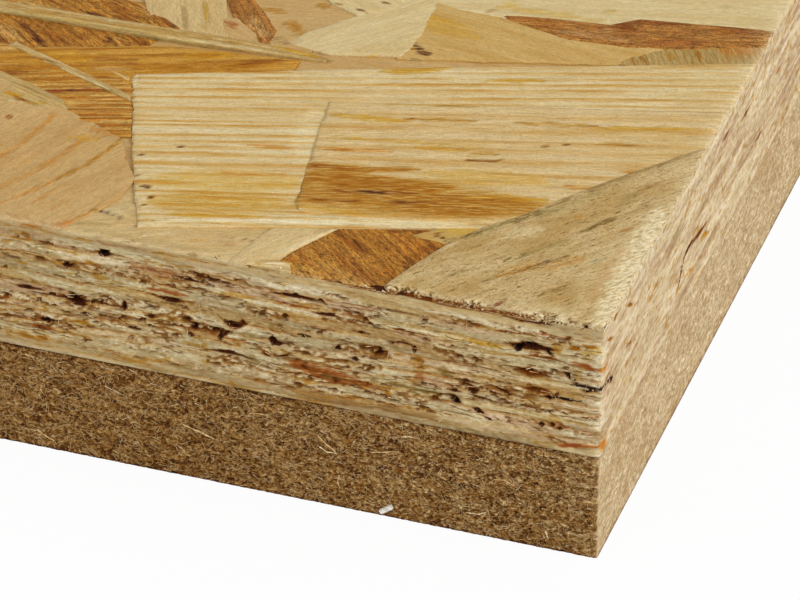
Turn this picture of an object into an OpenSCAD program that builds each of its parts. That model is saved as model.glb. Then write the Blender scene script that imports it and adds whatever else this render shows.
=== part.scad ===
// Acoustic floor panel: an oriented strand board bonded to a wood fibre board, with
// all four edges sawn flush. Millimetres. X runs along the panel, Y across it and Z up;
// the origin is the middle of the underside.

/* [Panel] */
// Length of the panel
panel_l = 1200; // [1000:50:1500]
// Width of the panel
panel_w = 600; // [500:25:750]

/* [Boards] */
// Thickness of the oriented strand board
strand_board_t = 15; // [12:1:25]
// Thickness of the wood fibre board
fibre_board_t = 12; // [8:1:40]

/* [Strand face] */
// Length of a strand in the pressed face
strand_l = 105; // [80:5:130]
// Width of a strand in the pressed face
strand_w = 30; // [16:2:40]
// Deepest that a strand dips where it runs under its neighbour
dip_depth = 0.5; // [0.3:0.1:1]
// Dipping strands counted along the panel
dips_along = 8; // [2:1:10]
// Dipping strands counted across the panel
dips_across = 9; // [2:1:12]
// How far a strand may turn away from the panel's length, in degrees
strand_turn = 60; // [0:5:90]
// Layout number: each one lays the strands and voids another way
layout = 3; // [1:1:20]

/* [Sawn edges] */
// Voids between the strands, counted along a long edge
voids_long_edge = 30; // [5:1:40]
// Voids between the strands, counted along a short edge
voids_short_edge = 15; // [5:1:20]
// Longest void
void_l = 5; // [3:0.5:8]
// Tallest void
void_h = 0.9; // [0.5:0.1:1.4]
// How far a void runs in behind the sawn edge
void_run = 3; // [2:0.5:6]

/* [Hidden] */

panel_t = fibre_board_t + strand_board_t;
// Smallest share of a full size that chance may give a strand, a dip or a void
least_share = 0.5;
// Step that is left at the high end of a dipping strand
high_end_step = 0.1;
// Height of the cutting block above a dip, clear of the face at any tilt
block_h = 3;
// Voids stay this far from the board's two faces, where the strands are pressed densest
dense_skin = 3;
// A void starts outside the sawn edge, so that it opens through it
overshoot = 1;
// Open voids beside the front right corner, as distance from the corner, height above
// the glue line, length and height of each
corner_voids = [
    [2.5, 8.3, 3.0, 0.8], [5.0, 6.4, 5.5, 0.7], [6.8, 11.8, 4.4, 0.8],
    [12.0, 2.7, 1.8, 0.8], [14.8, 3.7, 1.3, 1.0], [33.7, 6.4, 1.2, 1.1],
    [38.0, 7.8, 2.3, 1.2], [39.2, 6.5, 1.2, 0.8], [44.6, 9.2, 3.9, 0.6],
    [51.6, 13.1, 1.7, 0.6], [55.0, 6.8, 2.7, 1.1], [58.2, 3.8, 1.7, 0.6],
    [60.1, 7.3, 1.0, 0.7]
];
// Open voids round the corner on the short edge, in the same terms
corner_voids_short = [[3.0, 8.2, 5.0, 0.8], [31.0, 5.6, 9.0, 0.5]];

// One number from 0 to 1 for each of the n places, repeatable from its seed.
function chance(n, seed) = rands(0, 1, n, 100 * layout + seed);
// A chance from 0 to 1 as a share of a full size.
function share(x) = least_share + (1 - least_share) * x;

// Cutting block for a strand that dips under its neighbour: its floor slopes from the
// small step at one end down to the given depth at the other.
module dip(length, width, depth) {
    slope = atan((depth - high_end_step) / length);
    translate([0, 0, panel_t - high_end_step])
        rotate([0, slope, 0])
            translate([0, -width / 2, 0]) cube([length, width, block_h]);
}

// The dipping strands of the pressed face: one in each cell of a grid, shifted, turned
// and sized by chance.
module face_dips() {
    cell = [panel_l / dips_along, panel_w / dips_across];
    n = dips_along * dips_across;
    along = chance(n, 1);
    across = chance(n, 2);
    turn = chance(n, 3);
    size = chance(n, 4);
    sink = chance(n, 5);
    for (i = [0 : n - 1])
        translate([
            -panel_l / 2 + (i % dips_along + along[i]) * cell.x,
            -panel_w / 2 + (floor(i / dips_along) + across[i]) * cell.y,
            0
        ])
            rotate([0, 0, (2 * turn[i] - 1) * strand_turn + (i % 2) * 180])
                dip(
                    strand_l * share(size[i]), strand_w * share(1 - size[i]),
                    dip_depth * share(sink[i])
                );
}

// One void, seen along Y as a flattened lens with its long end to the right. It lies at
// the sawn edge's plane and runs in along +Y.
module edge_void(length, height) {
    translate([0, void_run, 0])
        rotate([90, 0, 0])
            linear_extrude(void_run + overshoot)
                polygon([
                    [-length / 2, 0], [-length / 4, height / 2], [length / 2, height / 6],
                    [length / 4, -height / 2]
                ]);
}

// A row of n voids along an edge of the given length, each in its own stretch of the
// edge and clear of the corners.
module void_row(n, edge_l, seed) {
    stretch = edge_l / n;
    along = chance(n, seed);
    height = chance(n, seed + 1);
    size = chance(n, seed + 2);
    for (i = [0 : n - 1])
        translate([
            -edge_l / 2 + (i + 0.25 + along[i] / 2) * stretch,
            0,
            fibre_board_t + dense_skin + height[i] * (strand_board_t - 2 * dense_skin)
        ])
            edge_void(void_l * share(size[i]), void_h * share(1 - size[i]));
}

// Voids at chosen places, counted back from the right-hand end of an edge.
module chosen_voids(places, edge_l) {
    for (place = places)
        translate([edge_l / 2 - place[0], 0, fibre_board_t + place[1]])
            edge_void(place[2], place[3]);
}

// Turns children from the front edge to one of the others: 0 front, 1 right, 2 back and
// 3 left.
module on_edge(side) {
    rotate([0, 0, 90 * side])
        translate([0, -(side % 2 == 0 ? panel_w : panel_l) / 2, 0]) children();
}

// Oriented strand board: the pressed face with its dipping strands, and the voids that
// the saw opens between strands on all four edges.
module strand_board() {
    color([0.80, 0.66, 0.44])
        difference() {
            translate([-panel_l / 2, -panel_w / 2, fibre_board_t])
                cube([panel_l, panel_w, strand_board_t]);
            face_dips();
            on_edge(0) void_row(voids_long_edge, panel_l, 10);
            on_edge(1) void_row(voids_short_edge, panel_w, 20);
            on_edge(2) void_row(voids_long_edge, panel_l, 30);
            on_edge(3) void_row(voids_short_edge, panel_w, 40);
            on_edge(0) chosen_voids(corner_voids, panel_l);
            on_edge(1) mirror([1, 0, 0]) chosen_voids(corner_voids_short, panel_w);
        }
}

// Wood fibre board: a plain pressed felt of fibres, sawn square.
module wood_fibre_board() {
    color([0.46, 0.34, 0.20])
        translate([-panel_l / 2, -panel_w / 2, 0])
            cube([panel_l, panel_w, fibre_board_t]);
}

strand_board();
wood_fibre_board();
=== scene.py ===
"""Looks of a strand board and wood fibre panel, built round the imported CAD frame.

The corner nearest the camera is made strand by strand. The rest of the face and the
rest of the sawn edges follow the same rules from seeded random draws.
Shapes are worked out in millimetres from the near right corner of the underside: x is
negative to the left along the long edge, y runs inwards and z is up. They are turned
into metres in the row frame as each piece is finished.
"""

import logging
import math
from dataclasses import dataclass, field
from enum import Enum

import bmesh
import bpy
import numpy as np
from mathutils import Matrix, Vector


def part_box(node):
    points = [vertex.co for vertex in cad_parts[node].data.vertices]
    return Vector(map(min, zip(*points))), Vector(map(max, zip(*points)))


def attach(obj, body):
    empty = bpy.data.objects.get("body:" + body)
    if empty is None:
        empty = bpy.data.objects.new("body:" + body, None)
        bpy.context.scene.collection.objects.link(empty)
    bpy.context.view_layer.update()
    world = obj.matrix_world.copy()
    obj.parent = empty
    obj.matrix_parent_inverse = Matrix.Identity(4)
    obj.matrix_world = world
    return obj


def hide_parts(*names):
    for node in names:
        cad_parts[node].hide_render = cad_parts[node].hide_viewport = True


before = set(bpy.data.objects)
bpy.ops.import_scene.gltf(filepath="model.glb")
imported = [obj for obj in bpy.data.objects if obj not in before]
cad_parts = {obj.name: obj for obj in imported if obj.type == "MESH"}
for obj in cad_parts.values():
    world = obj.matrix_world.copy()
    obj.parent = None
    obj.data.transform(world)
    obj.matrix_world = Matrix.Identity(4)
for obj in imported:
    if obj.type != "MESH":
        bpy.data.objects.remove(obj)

Colour = tuple[float, float, float]
Place = tuple[float, float, float]
Point = tuple[float, float]
Grid = np.ndarray
Mesh = bmesh.types.BMesh

MM = 0.001
BODY = "root"
# Stains are mixed in this root of linear light, where they darken wood evenly.
STAIN_ROOT = 4.0
# Powers of a change of light in red, green and blue: wood turns redder as it darkens.
WARMTH = (0.85, 1.08, 1.5)
log = logging.getLogger("panel")


class Slot(Enum):
    """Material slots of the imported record."""

    STRAND = "strand_board"
    FIBRE = "wood_fibre"


class Side(Enum):
    """The four sawn edges of the panel, each with the way it runs and the way it faces."""

    NEAR = ((1.0, 0.0), (0.0, -1.0))
    RIGHT = ((0.0, 1.0), (1.0, 0.0))
    FAR = ((-1.0, 0.0), (0.0, 1.0))
    LEFT = ((0.0, -1.0), (-1.0, 0.0))


def shade(red: float, green: float, blue: float) -> Colour:
    """Turn display values of 0 to 255 into linear light.

    Args:
        red: Display red.
        green: Display green.
        blue: Display blue.

    Returns:
        The colour in linear light.
    """
    def linear(value: float) -> float:
        """Linear light of one display value."""
        share = value / 255
        return share / 12.92 if share <= 0.04045 else ((share + 0.055) / 1.055) ** 2.4

    return linear(red), linear(green), linear(blue)


class Tone(Enum):
    """Colours that marks and streaks are made in."""

    BLACK = shade(34, 12, 4)
    DARK = shade(68, 27, 5)
    BROWN = shade(156, 92, 5)
    UMBER = shade(120, 58, 5)
    RUST = shade(152, 74, 24)
    ORANGE = shade(190, 112, 26)
    AMBER = shade(194, 136, 20)
    OLIVE = shade(148, 130, 72)
    GREY = shade(148, 121, 66)
    SLATE = shade(112, 85, 32)
    PALE = shade(222, 202, 154)
    CREAM = shade(234, 218, 176)
    TAN = shade(200, 168, 112)
    PINK = shade(194, 156, 114)
    YELLOW = shade(200, 160, 58)


def deep(colour: Colour | Grid) -> Grid:
    """Fourth root of a colour, in which stains mix as deeply as they do in wood."""
    return np.array(colour) ** (1 / STAIN_ROOT)


def blend(first: Grid, second: Grid, share: Grid) -> Grid:
    """Rows of rooted colour between two colours, by a share of the second for each row."""
    return first + (second - first) * share[:, None]


def warmed(light: Grid) -> Grid:
    """Rooted multiplier of a colour that turns redder as it darkens and greyer as it pales."""
    held = deep(np.clip(light, 0.35, 1.6))
    return np.column_stack([held**power for power in WARMTH])


def smooth_step(value: Grid) -> Grid:
    """Ease values from 0 to 1, and clip what lies outside."""
    held = np.clip(value, 0.0, 1.0)
    return held * held * (3.0 - 2.0 * held)


def ease(value: Grid, start: float | Grid, width: float) -> Grid:
    """Ease from 0 at a start to 1 a width further on. A negative width goes the other way."""
    return smooth_step((value - start) / width)


def hill(value: Grid, width: float) -> Grid:
    """Smooth hump that is 1 where values are 0."""
    return np.exp(-((value / width) ** 2))


@dataclass
class LatticeNoise:
    """Smooth repeatable noise on a square lattice of seeded random values."""

    seed: int
    cells: int = 193
    table: Grid = field(init=False, repr=False)

    def __post_init__(self) -> None:
        """Draw the lattice."""
        self.table = np.random.default_rng(self.seed).random((self.cells, self.cells))

    def at(self, x: Grid, y: Grid) -> Grid:
        """Noise at points of a plane.

        Args:
            x: First coordinate, in cells.
            y: Second coordinate, in cells.

        Returns:
            Values from 0 to 1.
        """
        column = np.floor(x).astype(int)
        row = np.floor(y).astype(int)
        across = smooth_step(x - column)
        up = smooth_step(y - row)
        here, beyond = column % self.cells, (column + 1) % self.cells
        low, high = row % self.cells, (row + 1) % self.cells
        bottom = self.table[here, low] * (1 - across) + self.table[beyond, low] * across
        top = self.table[here, high] * (1 - across) + self.table[beyond, high] * across
        return bottom * (1 - up) + top * up

    def rough(self, x: Grid, y: Grid, octaves: int = 3) -> Grid:
        """Sum of noises at doubling scales, from 0 to 1."""
        total = np.zeros(np.broadcast(x, y).shape)
        weight, whole = 1.0, 0.0
        for octave in range(octaves):
            total += weight * self.at(x * 2**octave + 17.3 * octave, y * 2**octave + 9.1 * octave)
            whole += weight
            weight *= 0.55
        return total / whole

    def pick(self, first: Grid, second: Grid) -> Grid:
        """One fixed random value for each pair of whole numbers."""
        return self.table[first % self.cells, second % self.cells]


@dataclass(frozen=True)
class PanelFrame:
    """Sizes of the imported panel, in millimetres, and its place in the row frame."""

    length: float
    width: float
    joint: float
    top: float
    to_row: Matrix

    @classmethod
    def from_cad(cls) -> "PanelFrame":
        """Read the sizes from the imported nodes."""
        board_low, board_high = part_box("strand_board")
        fibre_low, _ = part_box("wood_fibre_board")
        corner = Vector((board_high.x, board_low.y, fibre_low.z))
        return cls(
            length=(board_high.x - board_low.x) / MM,
            width=(board_high.y - board_low.y) / MM,
            joint=(board_low.z - fibre_low.z) / MM,
            top=(board_high.z - fibre_low.z) / MM,
            to_row=Matrix.Translation(corner) @ Matrix.Scale(MM, 4),
        )


def finish_piece(
    bm: Mesh, name: str, panel: PanelFrame, material: bpy.types.Material, smooth: bool = True,
) -> bpy.types.Object:
    """Turn a finished bmesh into a piece of the panel.

    Args:
        bm: The mesh in corner millimetres. It is freed.
        name: Name of the piece.
        panel: Sizes and place of the panel.
        material: Finish of the piece.
        smooth: Whether its faces are shaded smooth.

    Returns:
        The new object, riding on the body.
    """
    bmesh.ops.recalc_face_normals(bm, faces=bm.faces)
    bmesh.ops.transform(bm, matrix=panel.to_row, verts=bm.verts)
    for face in bm.faces:
        face.smooth = smooth and len(face.verts) <= 4
    mesh = bpy.data.meshes.new(name)
    bm.to_mesh(mesh)
    bm.free()
    mesh.materials.append(material)
    piece = bpy.data.objects.new(name, mesh)
    bpy.context.scene.collection.objects.link(piece)
    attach(piece, BODY)
    log.info("%s: %d faces", name, len(mesh.polygons))
    return piece


def coordinates(verts: list[bmesh.types.BMVert]) -> Grid:
    """Places of some vertices as rows of an array."""
    return np.array([tuple(vert.co) for vert in verts])


def close_below(bm: Mesh, steps: list[Point], inward: Place | None = None) -> None:
    """Give a sheet walls and an underside.

    Args:
        bm: A sheet with one boundary.
        steps: For each ring of the wall, its drop and its shift inwards, in millimetres.
        inward: A fixed direction of the shift, or None for the sheet's middle.
    """
    ring = [edge for edge in bm.edges if edge.is_boundary]
    middle = Vector(coordinates(list({v for e in ring for v in e.verts})).mean(axis=0))
    for drop, shift in steps:
        made = bmesh.ops.extrude_edge_only(bm, edges=ring)["geom"]
        ring = [part for part in made if isinstance(part, bmesh.types.BMEdge) and part.is_boundary]
        for vert in (part for part in made if isinstance(part, bmesh.types.BMVert)):
            towards = Vector((middle.x - vert.co.x, middle.y - vert.co.y, 0.0)).normalized()
            vert.co += (Vector(inward) if inward else towards) * shift
            vert.co.z -= drop
    bmesh.ops.holes_fill(bm, edges=ring, sides=0)


@dataclass(frozen=True)
class Wire:
    """The output of a node, which sums can be written with.

    Attributes:
        nodes: Maker of the tree that it is in.
        socket: The output.
    """

    nodes: "Nodes"
    socket: bpy.types.NodeSocket

    def __add__(self, other: object) -> "Wire":
        """Sum of two values."""
        return self.nodes.math("ADD", self, other)

    def __sub__(self, other: object) -> "Wire":
        """Difference of two values."""
        return self.nodes.math("SUBTRACT", self, other)

    def __mul__(self, other: object) -> "Wire":
        """Product of two values."""
        return self.nodes.math("MULTIPLY", self, other)

    def __truediv__(self, other: object) -> "Wire":
        """Quotient of two values."""
        return self.nodes.math("DIVIDE", self, other)


@dataclass
class Nodes:
    """Maker of the nodes of one empty tree."""

    tree: bpy.types.NodeTree

    def __post_init__(self) -> None:
        """Empty the tree."""
        self.tree.nodes.clear()

    def feed(self, socket: bpy.types.NodeSocket, value: object) -> None:
        """Link or set one input socket."""
        if isinstance(value, Wire):
            self.tree.links.new(value.socket, socket)
        elif socket.type == "RGBA":
            socket.default_value = (*value, 1.0)
        else:
            socket.default_value = value

    def node(self, kind: str, *values: object, **settings: object) -> bpy.types.Node:
        """Add a node.

        Args:
            kind: Its type, after the words that all shader nodes start with.
            values: Wires or values of its first inputs, in order.
            settings: Its other settings.

        Returns:
            The node.
        """
        node = self.tree.nodes.new("ShaderNode" + kind)
        for name, value in settings.items():
            setattr(node, name, value)
        for socket, value in zip(node.inputs, values):
            self.feed(socket, value)
        return node

    def wire(self, kind: str, *values: object, output: int | str = 0, **settings: object) -> Wire:
        """Add a node, as above, and take one of its outputs."""
        return Wire(self, self.node(kind, *values, **settings).outputs[output])

    def math(self, kind: str, first: object, second: object = 0.0, clamp: bool = False) -> Wire:
        """One sum of two numbers or wires."""
        return self.wire("Math", first, second, operation=kind, use_clamp=clamp)

    def shown(self, lit: Wire, seen: Wire, rays: tuple[str, ...], share: float = 1.0) -> Wire:
        """Blend two closures so that the rays named meet the second one.

        Args:
            lit: What lights the object.
            seen: What stands behind it in the picture.
            rays: Kinds of ray.
            share: Share of the second one.

        Returns:
            The blended closure.
        """
        light = self.node("LightPath").outputs
        straight, *others = (Wire(self, light[f"Is {ray} Ray"]) for ray in rays)
        for other in others:
            straight = self.math("MAXIMUM", straight, other)
        return self.wire("MixShader", straight * share, lit, seen)


class Shader(Nodes):
    """Maker of one material with a principled surface."""

    def __init__(self, name: str, roughness: float, sheen: float) -> None:
        """Start the material.

        Args:
            name: Name of the material.
            roughness: Roughness of its surface.
            sheen: Specular level of its surface.
        """
        self.material = bpy.data.materials.new(name)
        self.material.use_nodes = True
        super().__init__(self.material.node_tree)
        self.surface = self.node("BsdfPrincipled")
        self.surface.inputs["Roughness"].default_value = roughness
        self.surface.inputs["Specular IOR Level"].default_value = sheen
        self.output = self.node("OutputMaterial", Wire(self, self.surface.outputs[0]))

    def read(self, name: str, output: str) -> Wire:
        """One output of a vertex attribute."""
        return self.wire("Attribute", output=output, attribute_name=name)

    def place(self, scale: Place, shift: float = 0.0) -> Wire:
        """Object coordinates turned into millimetres and scaled.

        Args:
            scale: Cells for each millimetre along x, y and z.
            shift: Cells that the whole is moved by.

        Returns:
            The scaled coordinates.
        """
        cells = tuple(number / MM for number in scale)
        return self.wire("Mapping", self.wire("TexCoord", output="Object"), (shift,) * 3, (0.0,) * 3, cells)

    def vector(self, x: object, y: object, z: object) -> Wire:
        """A vector from three numbers or wires."""
        return self.wire("CombineXYZ", x, y, z)

    def noise(self, where: Wire, detail: float = 2.0, rough: float = 0.5) -> Wire:
        """Noise value at coordinates already in cells."""
        return self.wire("TexNoise", where, 0.0, 1.0, detail, rough)

    def span(self, value: Wire, low: float, high: float, to_low: float = 0.0, to_high: float = 1.0) -> Wire:
        """Ease a value from one range to another, which runs from 0 to 1 unless it is given."""
        return self.wire("MapRange", value, low, high, to_low, to_high, interpolation_type="SMOOTHSTEP")

    def mix(self, factor: object, first: object, second: object, kind: str = "MIX") -> Wire:
        """Mix two colours, given as wires or as three numbers."""
        node = self.node("Mix", factor, data_type="RGBA", blend_type=kind)
        self.feed(node.inputs[6], first)
        self.feed(node.inputs[7], second)
        return Wire(self, node.outputs[2])

    def gamma(self, colour: Wire, power: float) -> Wire:
        """Raise a colour to a power."""
        return self.wire("Gamma", colour, power)

    def steps(self, value: Wire, stops: tuple[Point, ...]) -> Wire:
        """Value that follows a broken line through (place, height) stops."""
        node = self.node("ValToRGB", value)
        ramp = node.color_ramp
        ramp.elements[0].position, ramp.elements[1].position = stops[0][0], stops[-1][0]
        for place, _ in stops[1:-1]:
            ramp.elements.new(place)
        for element, (_, height) in zip(ramp.elements, stops):
            element.color = (height, height, height, 1.0)
        return Wire(self, node.outputs[0])

    def finished(self, colour: Wire, height: Wire, reach: float, strength: float) -> bpy.types.Material:
        """Put the colour and the relief on the surface.

        Args:
            colour: Base colour.
            height: Height of the relief from 0 to 1.
            reach: Full height in millimetres.
            strength: Share of the relief's effect.

        Returns:
            The finished material.
        """
        self.feed(self.surface.inputs["Base Color"], colour)
        relief = self.node("Bump", strength, reach * MM)
        self.feed(relief.inputs["Height"], height)
        self.feed(self.surface.inputs["Normal"], Wire(self, relief.outputs[0]))
        return self.material


# Share of dark latewood along one ring, as (place, share) stops.
RING = ((0.0, 0.1), (0.22, 0.08), (0.5, 0.5), (0.72, 0.95), (0.86, 0.8), (1.0, 0.1))


@dataclass(frozen=True)
class StrandFinish:
    """Softwood strand: pale earlywood, darker latewood lines, fibre and resin specks.

    Attributes:
        name: Name of the material.
        early: Pale wood.
        late: Dark line of a ring.
        wash: Slow change of colour over the strand.
        ring_gap: Millimetres from ring to ring.
        ring_strength: Share of the dark line.
        wander: How far rings stray, in millimetres.
        washed: Share of the wash.
        fibre: Light and dark of the fine fibre.
        specks: Share of the short resin dashes.
        coarse: Height of the relief against a planed face.
        short: Length of the fibre against straight-grained wood.
        mottle: Share of the small blots of the wash.
        pores: Share of the few long resin lines.
        broken: Least share of a painted streak that is left between fibres.
    """

    name: str
    early: Colour
    late: Colour
    wash: Colour
    ring_gap: float = 1.5
    ring_strength: float = 0.7
    wander: float = 0.7
    washed: float = 0.3
    fibre: float = 0.22
    specks: float = 0.35
    coarse: float = 0.7
    short: float = 1.0
    mottle: float = 0.4
    pores: float = 0.2
    broken: float = 0.4

    def material(self) -> bpy.types.Material:
        """Make the material. It reads the strand's own grain, paint and sawn attributes."""
        shader = Shader(self.name, 0.62, 0.16)
        early, late, wash = (tuple(deep(tone)) for tone in (self.early, self.late, self.wash))
        crumb_tone, gap_shade_tone = (tuple(deep(tone)) for tone in (Tone.CREAM.value, shade(84, 46, 16)))
        split = shader.node("SeparateXYZ", shader.read("grain", "Vector"))
        along, across, depth = (Wire(shader, output) for output in split.outputs)
        stretch = along / self.short

        def woven(length: float, width: float, detail: float = 2.0, rough: float = 0.55) -> Wire:
            """Noise drawn out along the grain."""
            return shader.noise(shader.vector(stretch / length, across / width, depth), detail, rough)

        rings = across + (woven(24.0, 6.0, 1.0) - 0.5) * (2.0 * self.wander) + (woven(2.6, 0.8) - 0.5) * 0.34
        rings = rings / self.ring_gap
        rings = rings + shader.noise(shader.vector(rings * 0.45, depth, 3.7), 1.0) * 2.2
        line = shader.steps(shader.math("FRACT", rings), RING)
        patch = shader.span(woven(11.0, 1.5, 3.0, 0.6), 0.32, 0.68, 0.12, 1.0)
        wood = shader.mix(shader.math("MULTIPLY", line * patch, self.ring_strength, clamp=True), early, late)
        wood = shader.mix(shader.span(woven(22.0, 6.0), 0.42, 0.72, 0.0, self.washed), wood, wash)
        grain = woven(1.3, 0.2, 3.0, 0.65) * 0.42 + woven(5.0, 0.5, 2.0, 0.6) * 0.26
        grain = grain + woven(0.3, 0.24, 2.0, 0.6) * 0.32
        wood = shader.mix(shader.span(woven(1.3, 0.24, 1.0), 0.6, 0.74) * self.specks, wood, late)
        pores = shader.span(woven(3.4, 0.3, 2.0), 0.6, 0.72) * self.pores
        wood = shader.mix(pores, wood, late)
        wood = shader.mix(shader.span(woven(0.7, 0.32), 0.46, 0.7) * self.mottle, wood, wash)
        fray = shader.span(woven(2.2, 0.25, 3.0, 0.62), 0.36, 0.6, self.broken, 1.65 - self.broken)
        cover = shader.math("MULTIPLY", shader.read("paint", "Alpha"), fray, clamp=True)
        wood = shader.mix(cover, wood, shader.gamma(shader.read("paint", "Color"), 1 / STAIN_ROOT))
        sawn = shader.read("sawn", "Fac")
        # Crumbled parts get cream crumbs and dark gaps; the gaps' dark colour is painted shade, with a dip in
        # the relief.
        grit = shader.noise(shader.place((2.3, 2.3, 2.3)), 2.0, 0.6)
        gap = shader.span(grit, 0.53, 0.61, 0.0, 0.85) * sawn
        wood = shader.mix(shader.span(grit, 0.42, 0.52, 0.85, 0.0) * sawn, wood, crumb_tone)
        wood = shader.mix(gap, wood, gap_shade_tone)
        level = shader.span(grain, 0.32, 0.68, 1.0 - 1.5 * self.fibre, 1.0 + 1.25 * self.fibre)
        wood = shader.mix(1.0, shader.gamma(wood, STAIN_ROOT), shader.vector(level, level, level), "MULTIPLY")
        ridge = grain * 0.85 + line * 0.15 - shader.math("MAXIMUM", gap, pores) * 0.8
        return shader.finished(wood, ridge, 0.1 * self.coarse, 0.6)


@dataclass(frozen=True)
class Thread:
    """Thin winding lines over a sawn edge: pale fibres, and dark lines that are the painted shade of crack
    lines and crease lines.

    Attributes:
        length: Length of a wave of the line, in millimetres.
        height: Height of a wave.
        width: Half width, as a share of the wave.
        tone: Colour, or what the wood is multiplied by.
        share: Share of the colour in its middle.
        kept: Level of broad noise above which lines are drawn.
        kind: Kind of colour mix.
    """

    length: float
    height: float
    width: float
    tone: Colour
    share: float
    kept: float
    kind: str = "MIX"

    def draw(self, shader: Shader, wood: Wire, torn: Wire, shift: float) -> Wire:
        """Draw the lines over a colour.

        Args:
            shader: Maker of the material.
            wood: Colour underneath.
            torn: How torn the edge is, from 0 to 1.
            shift: Cells that the pattern is moved by.

        Returns:
            The colour with the lines on it.
        """
        run, rise = 1.0 / self.length, 1.0 / self.height
        wave = shader.noise(shader.place((run, run, rise), shift), 2.0, 0.55)
        line = shader.span(shader.math("ABSOLUTE", wave - 0.5), 0.4 * self.width, self.width, self.share, 0.0)
        broad = shader.noise(shader.place((run * 0.5, run * 0.5, rise * 0.6), shift + 5.0), 1.0)
        drawn = line * shader.span(broad, self.kept, self.kept + 0.08)
        return shader.mix(drawn * torn, wood, self.tone, self.kind)


@dataclass(frozen=True)
class SawnFinish:
    """Sawn or torn stock whose colour is held by the piece, with fine fibre lines over it.

    Attributes:
        name: Name of the material.
        line_length: Length of a fibre line, in millimetres.
        line_height: Height of a fibre line.
        contrast: Light and dark of the lines.
        fleck: Share of the flecks.
        relief: Height of the relief, in millimetres.
        fleck_tone: Colour of the flecks.
        fleck_size: Size of a fleck.
        threads: Fibres and painted shade of crack lines drawn over it.
        grit: Light and dark of the crumbs.
    """

    name: str
    line_length: float = 1.1
    line_height: float = 0.09
    contrast: float = 0.3
    fleck: float = 0.3
    relief: float = 0.08
    fleck_tone: Colour = Tone.DARK.value
    fleck_size: float = 0.22
    threads: tuple[Thread, ...] = ()
    grit: float = 0.2

    def material(self) -> bpy.types.Material:
        """Make the material. It reads the stock attribute and Object coordinates."""
        shader = Shader(self.name, 0.8, 0.12)
        flat, cell = 1.0 / self.line_length, 1.0 / self.fleck_size
        lines = shader.noise(shader.place((flat, flat, 1.0 / self.line_height)), 3.0, 0.65)
        broad = shader.noise(shader.place((flat / 3, flat / 3, 0.35 / self.line_height)), 2.0, 0.6)
        grain = lines * 0.6 + broad * 0.4
        crumbly = shader.noise(shader.place((cell * 0.5, cell * 0.5, cell * 0.65), 3.0), 2.0, 0.65)
        level = shader.span(grain, 0.32, 0.68, 1.0 - self.contrast, 1.0 + self.contrast * 0.75)
        level = level * shader.span(crumbly, 0.34, 0.66, 1.0 - self.grit, 1.0 + self.grit)
        warm = shader.vector(*(shader.math("POWER", level, power) for power in WARMTH))
        torn = shader.read("stock", "Alpha")
        wood = shader.mix(torn * 0.88 + 0.12, shader.read("stock", "Color"), warm, "MULTIPLY")
        speck = shader.noise(shader.place((cell * 0.6, cell * 0.6, cell)), 2.0, 0.6)
        pits = shader.span(speck, 0.6, 0.74) * self.fleck
        wood = shader.mix(pits, wood, self.fleck_tone)
        for number, thread in enumerate(self.threads):
            wood = thread.draw(shader, wood, torn, 7.3 * number)
        return shader.finished(wood, grain + crumbly - pits * 0.6, self.relief, 0.8)


@dataclass(frozen=True)
class FloorFinish:
    """Plain pale studio floor that keeps only a soft shadow for the camera.

    Attributes:
        albedo: Its share of the light that falls on it.
        white: Share of plain white in what the camera sees of it.
        glow: Strength of that white.
    """

    albedo: float = 0.62
    white: float = 0.93
    glow: float = 1.02

    def material(self) -> bpy.types.Material:
        """Make the floor's material."""
        shader = Shader("pale_floor", 1.0, 0.0)
        shader.feed(shader.surface.inputs["Base Color"], (self.albedo,) * 3)
        lit = Wire(shader, shader.surface.outputs[0])
        plain = shader.wire("Emission", (1.0, 1.0, 1.0), self.glow)
        seen = shader.shown(lit, plain, ("Camera", "Glossy", "Transmission"), self.white)
        shader.feed(shader.output.inputs[0], seen)
        return shader.material


@dataclass(frozen=True)
class EdgeMark:
    """A hollow, crack or stain on a sawn edge.

    Attributes:
        along: Middle, in millimetres from the near right corner; right-hand side positive.
        up: Height of the middle above the underside.
        length: Full length along the edge.
        height: Full height.
        tone: Colour inside; in a hollow, its darkness is partly painted shade.
        weight: Depth of a hollow in millimetres, or share of a stain's colour.
        tilt: Rise for each millimetre along.
        bow: How far the middle stands above the ends.
        hollow: True for a hollow, False for a stain.
    """

    along: float
    up: float
    length: float
    height: float
    tone: Tone
    weight: float
    tilt: float = 0.0
    bow: float = 0.0
    hollow: bool = False

    def reach(self, s: Grid, z: Grid, wobble: Grid) -> Grid:
        """Distance from the middle in half sizes, with an uneven outline."""
        share = (s - self.along) / (self.length / 2)
        middle = self.up + self.tilt * (s - self.along) + self.bow * (1 - share**2)
        off = (z - middle) / (self.height / 2)
        if self.hollow:
            return abs(share) ** 1.2 + abs(off) ** 1.1 + wobble
        return np.sqrt(share**2 + off**2) + wobble


B, D, N, U, R, O, A, L, G, S, P, C, T, K, Y = (
    Tone.BLACK, Tone.DARK, Tone.BROWN, Tone.UMBER, Tone.RUST, Tone.ORANGE, Tone.AMBER,
    Tone.OLIVE, Tone.GREY, Tone.SLATE, Tone.PALE, Tone.CREAM, Tone.TAN, Tone.PINK, Tone.YELLOW,
)

# Stains of the near edge. The black one by the corner lies over a crack's hollow and is painted shade.
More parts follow.
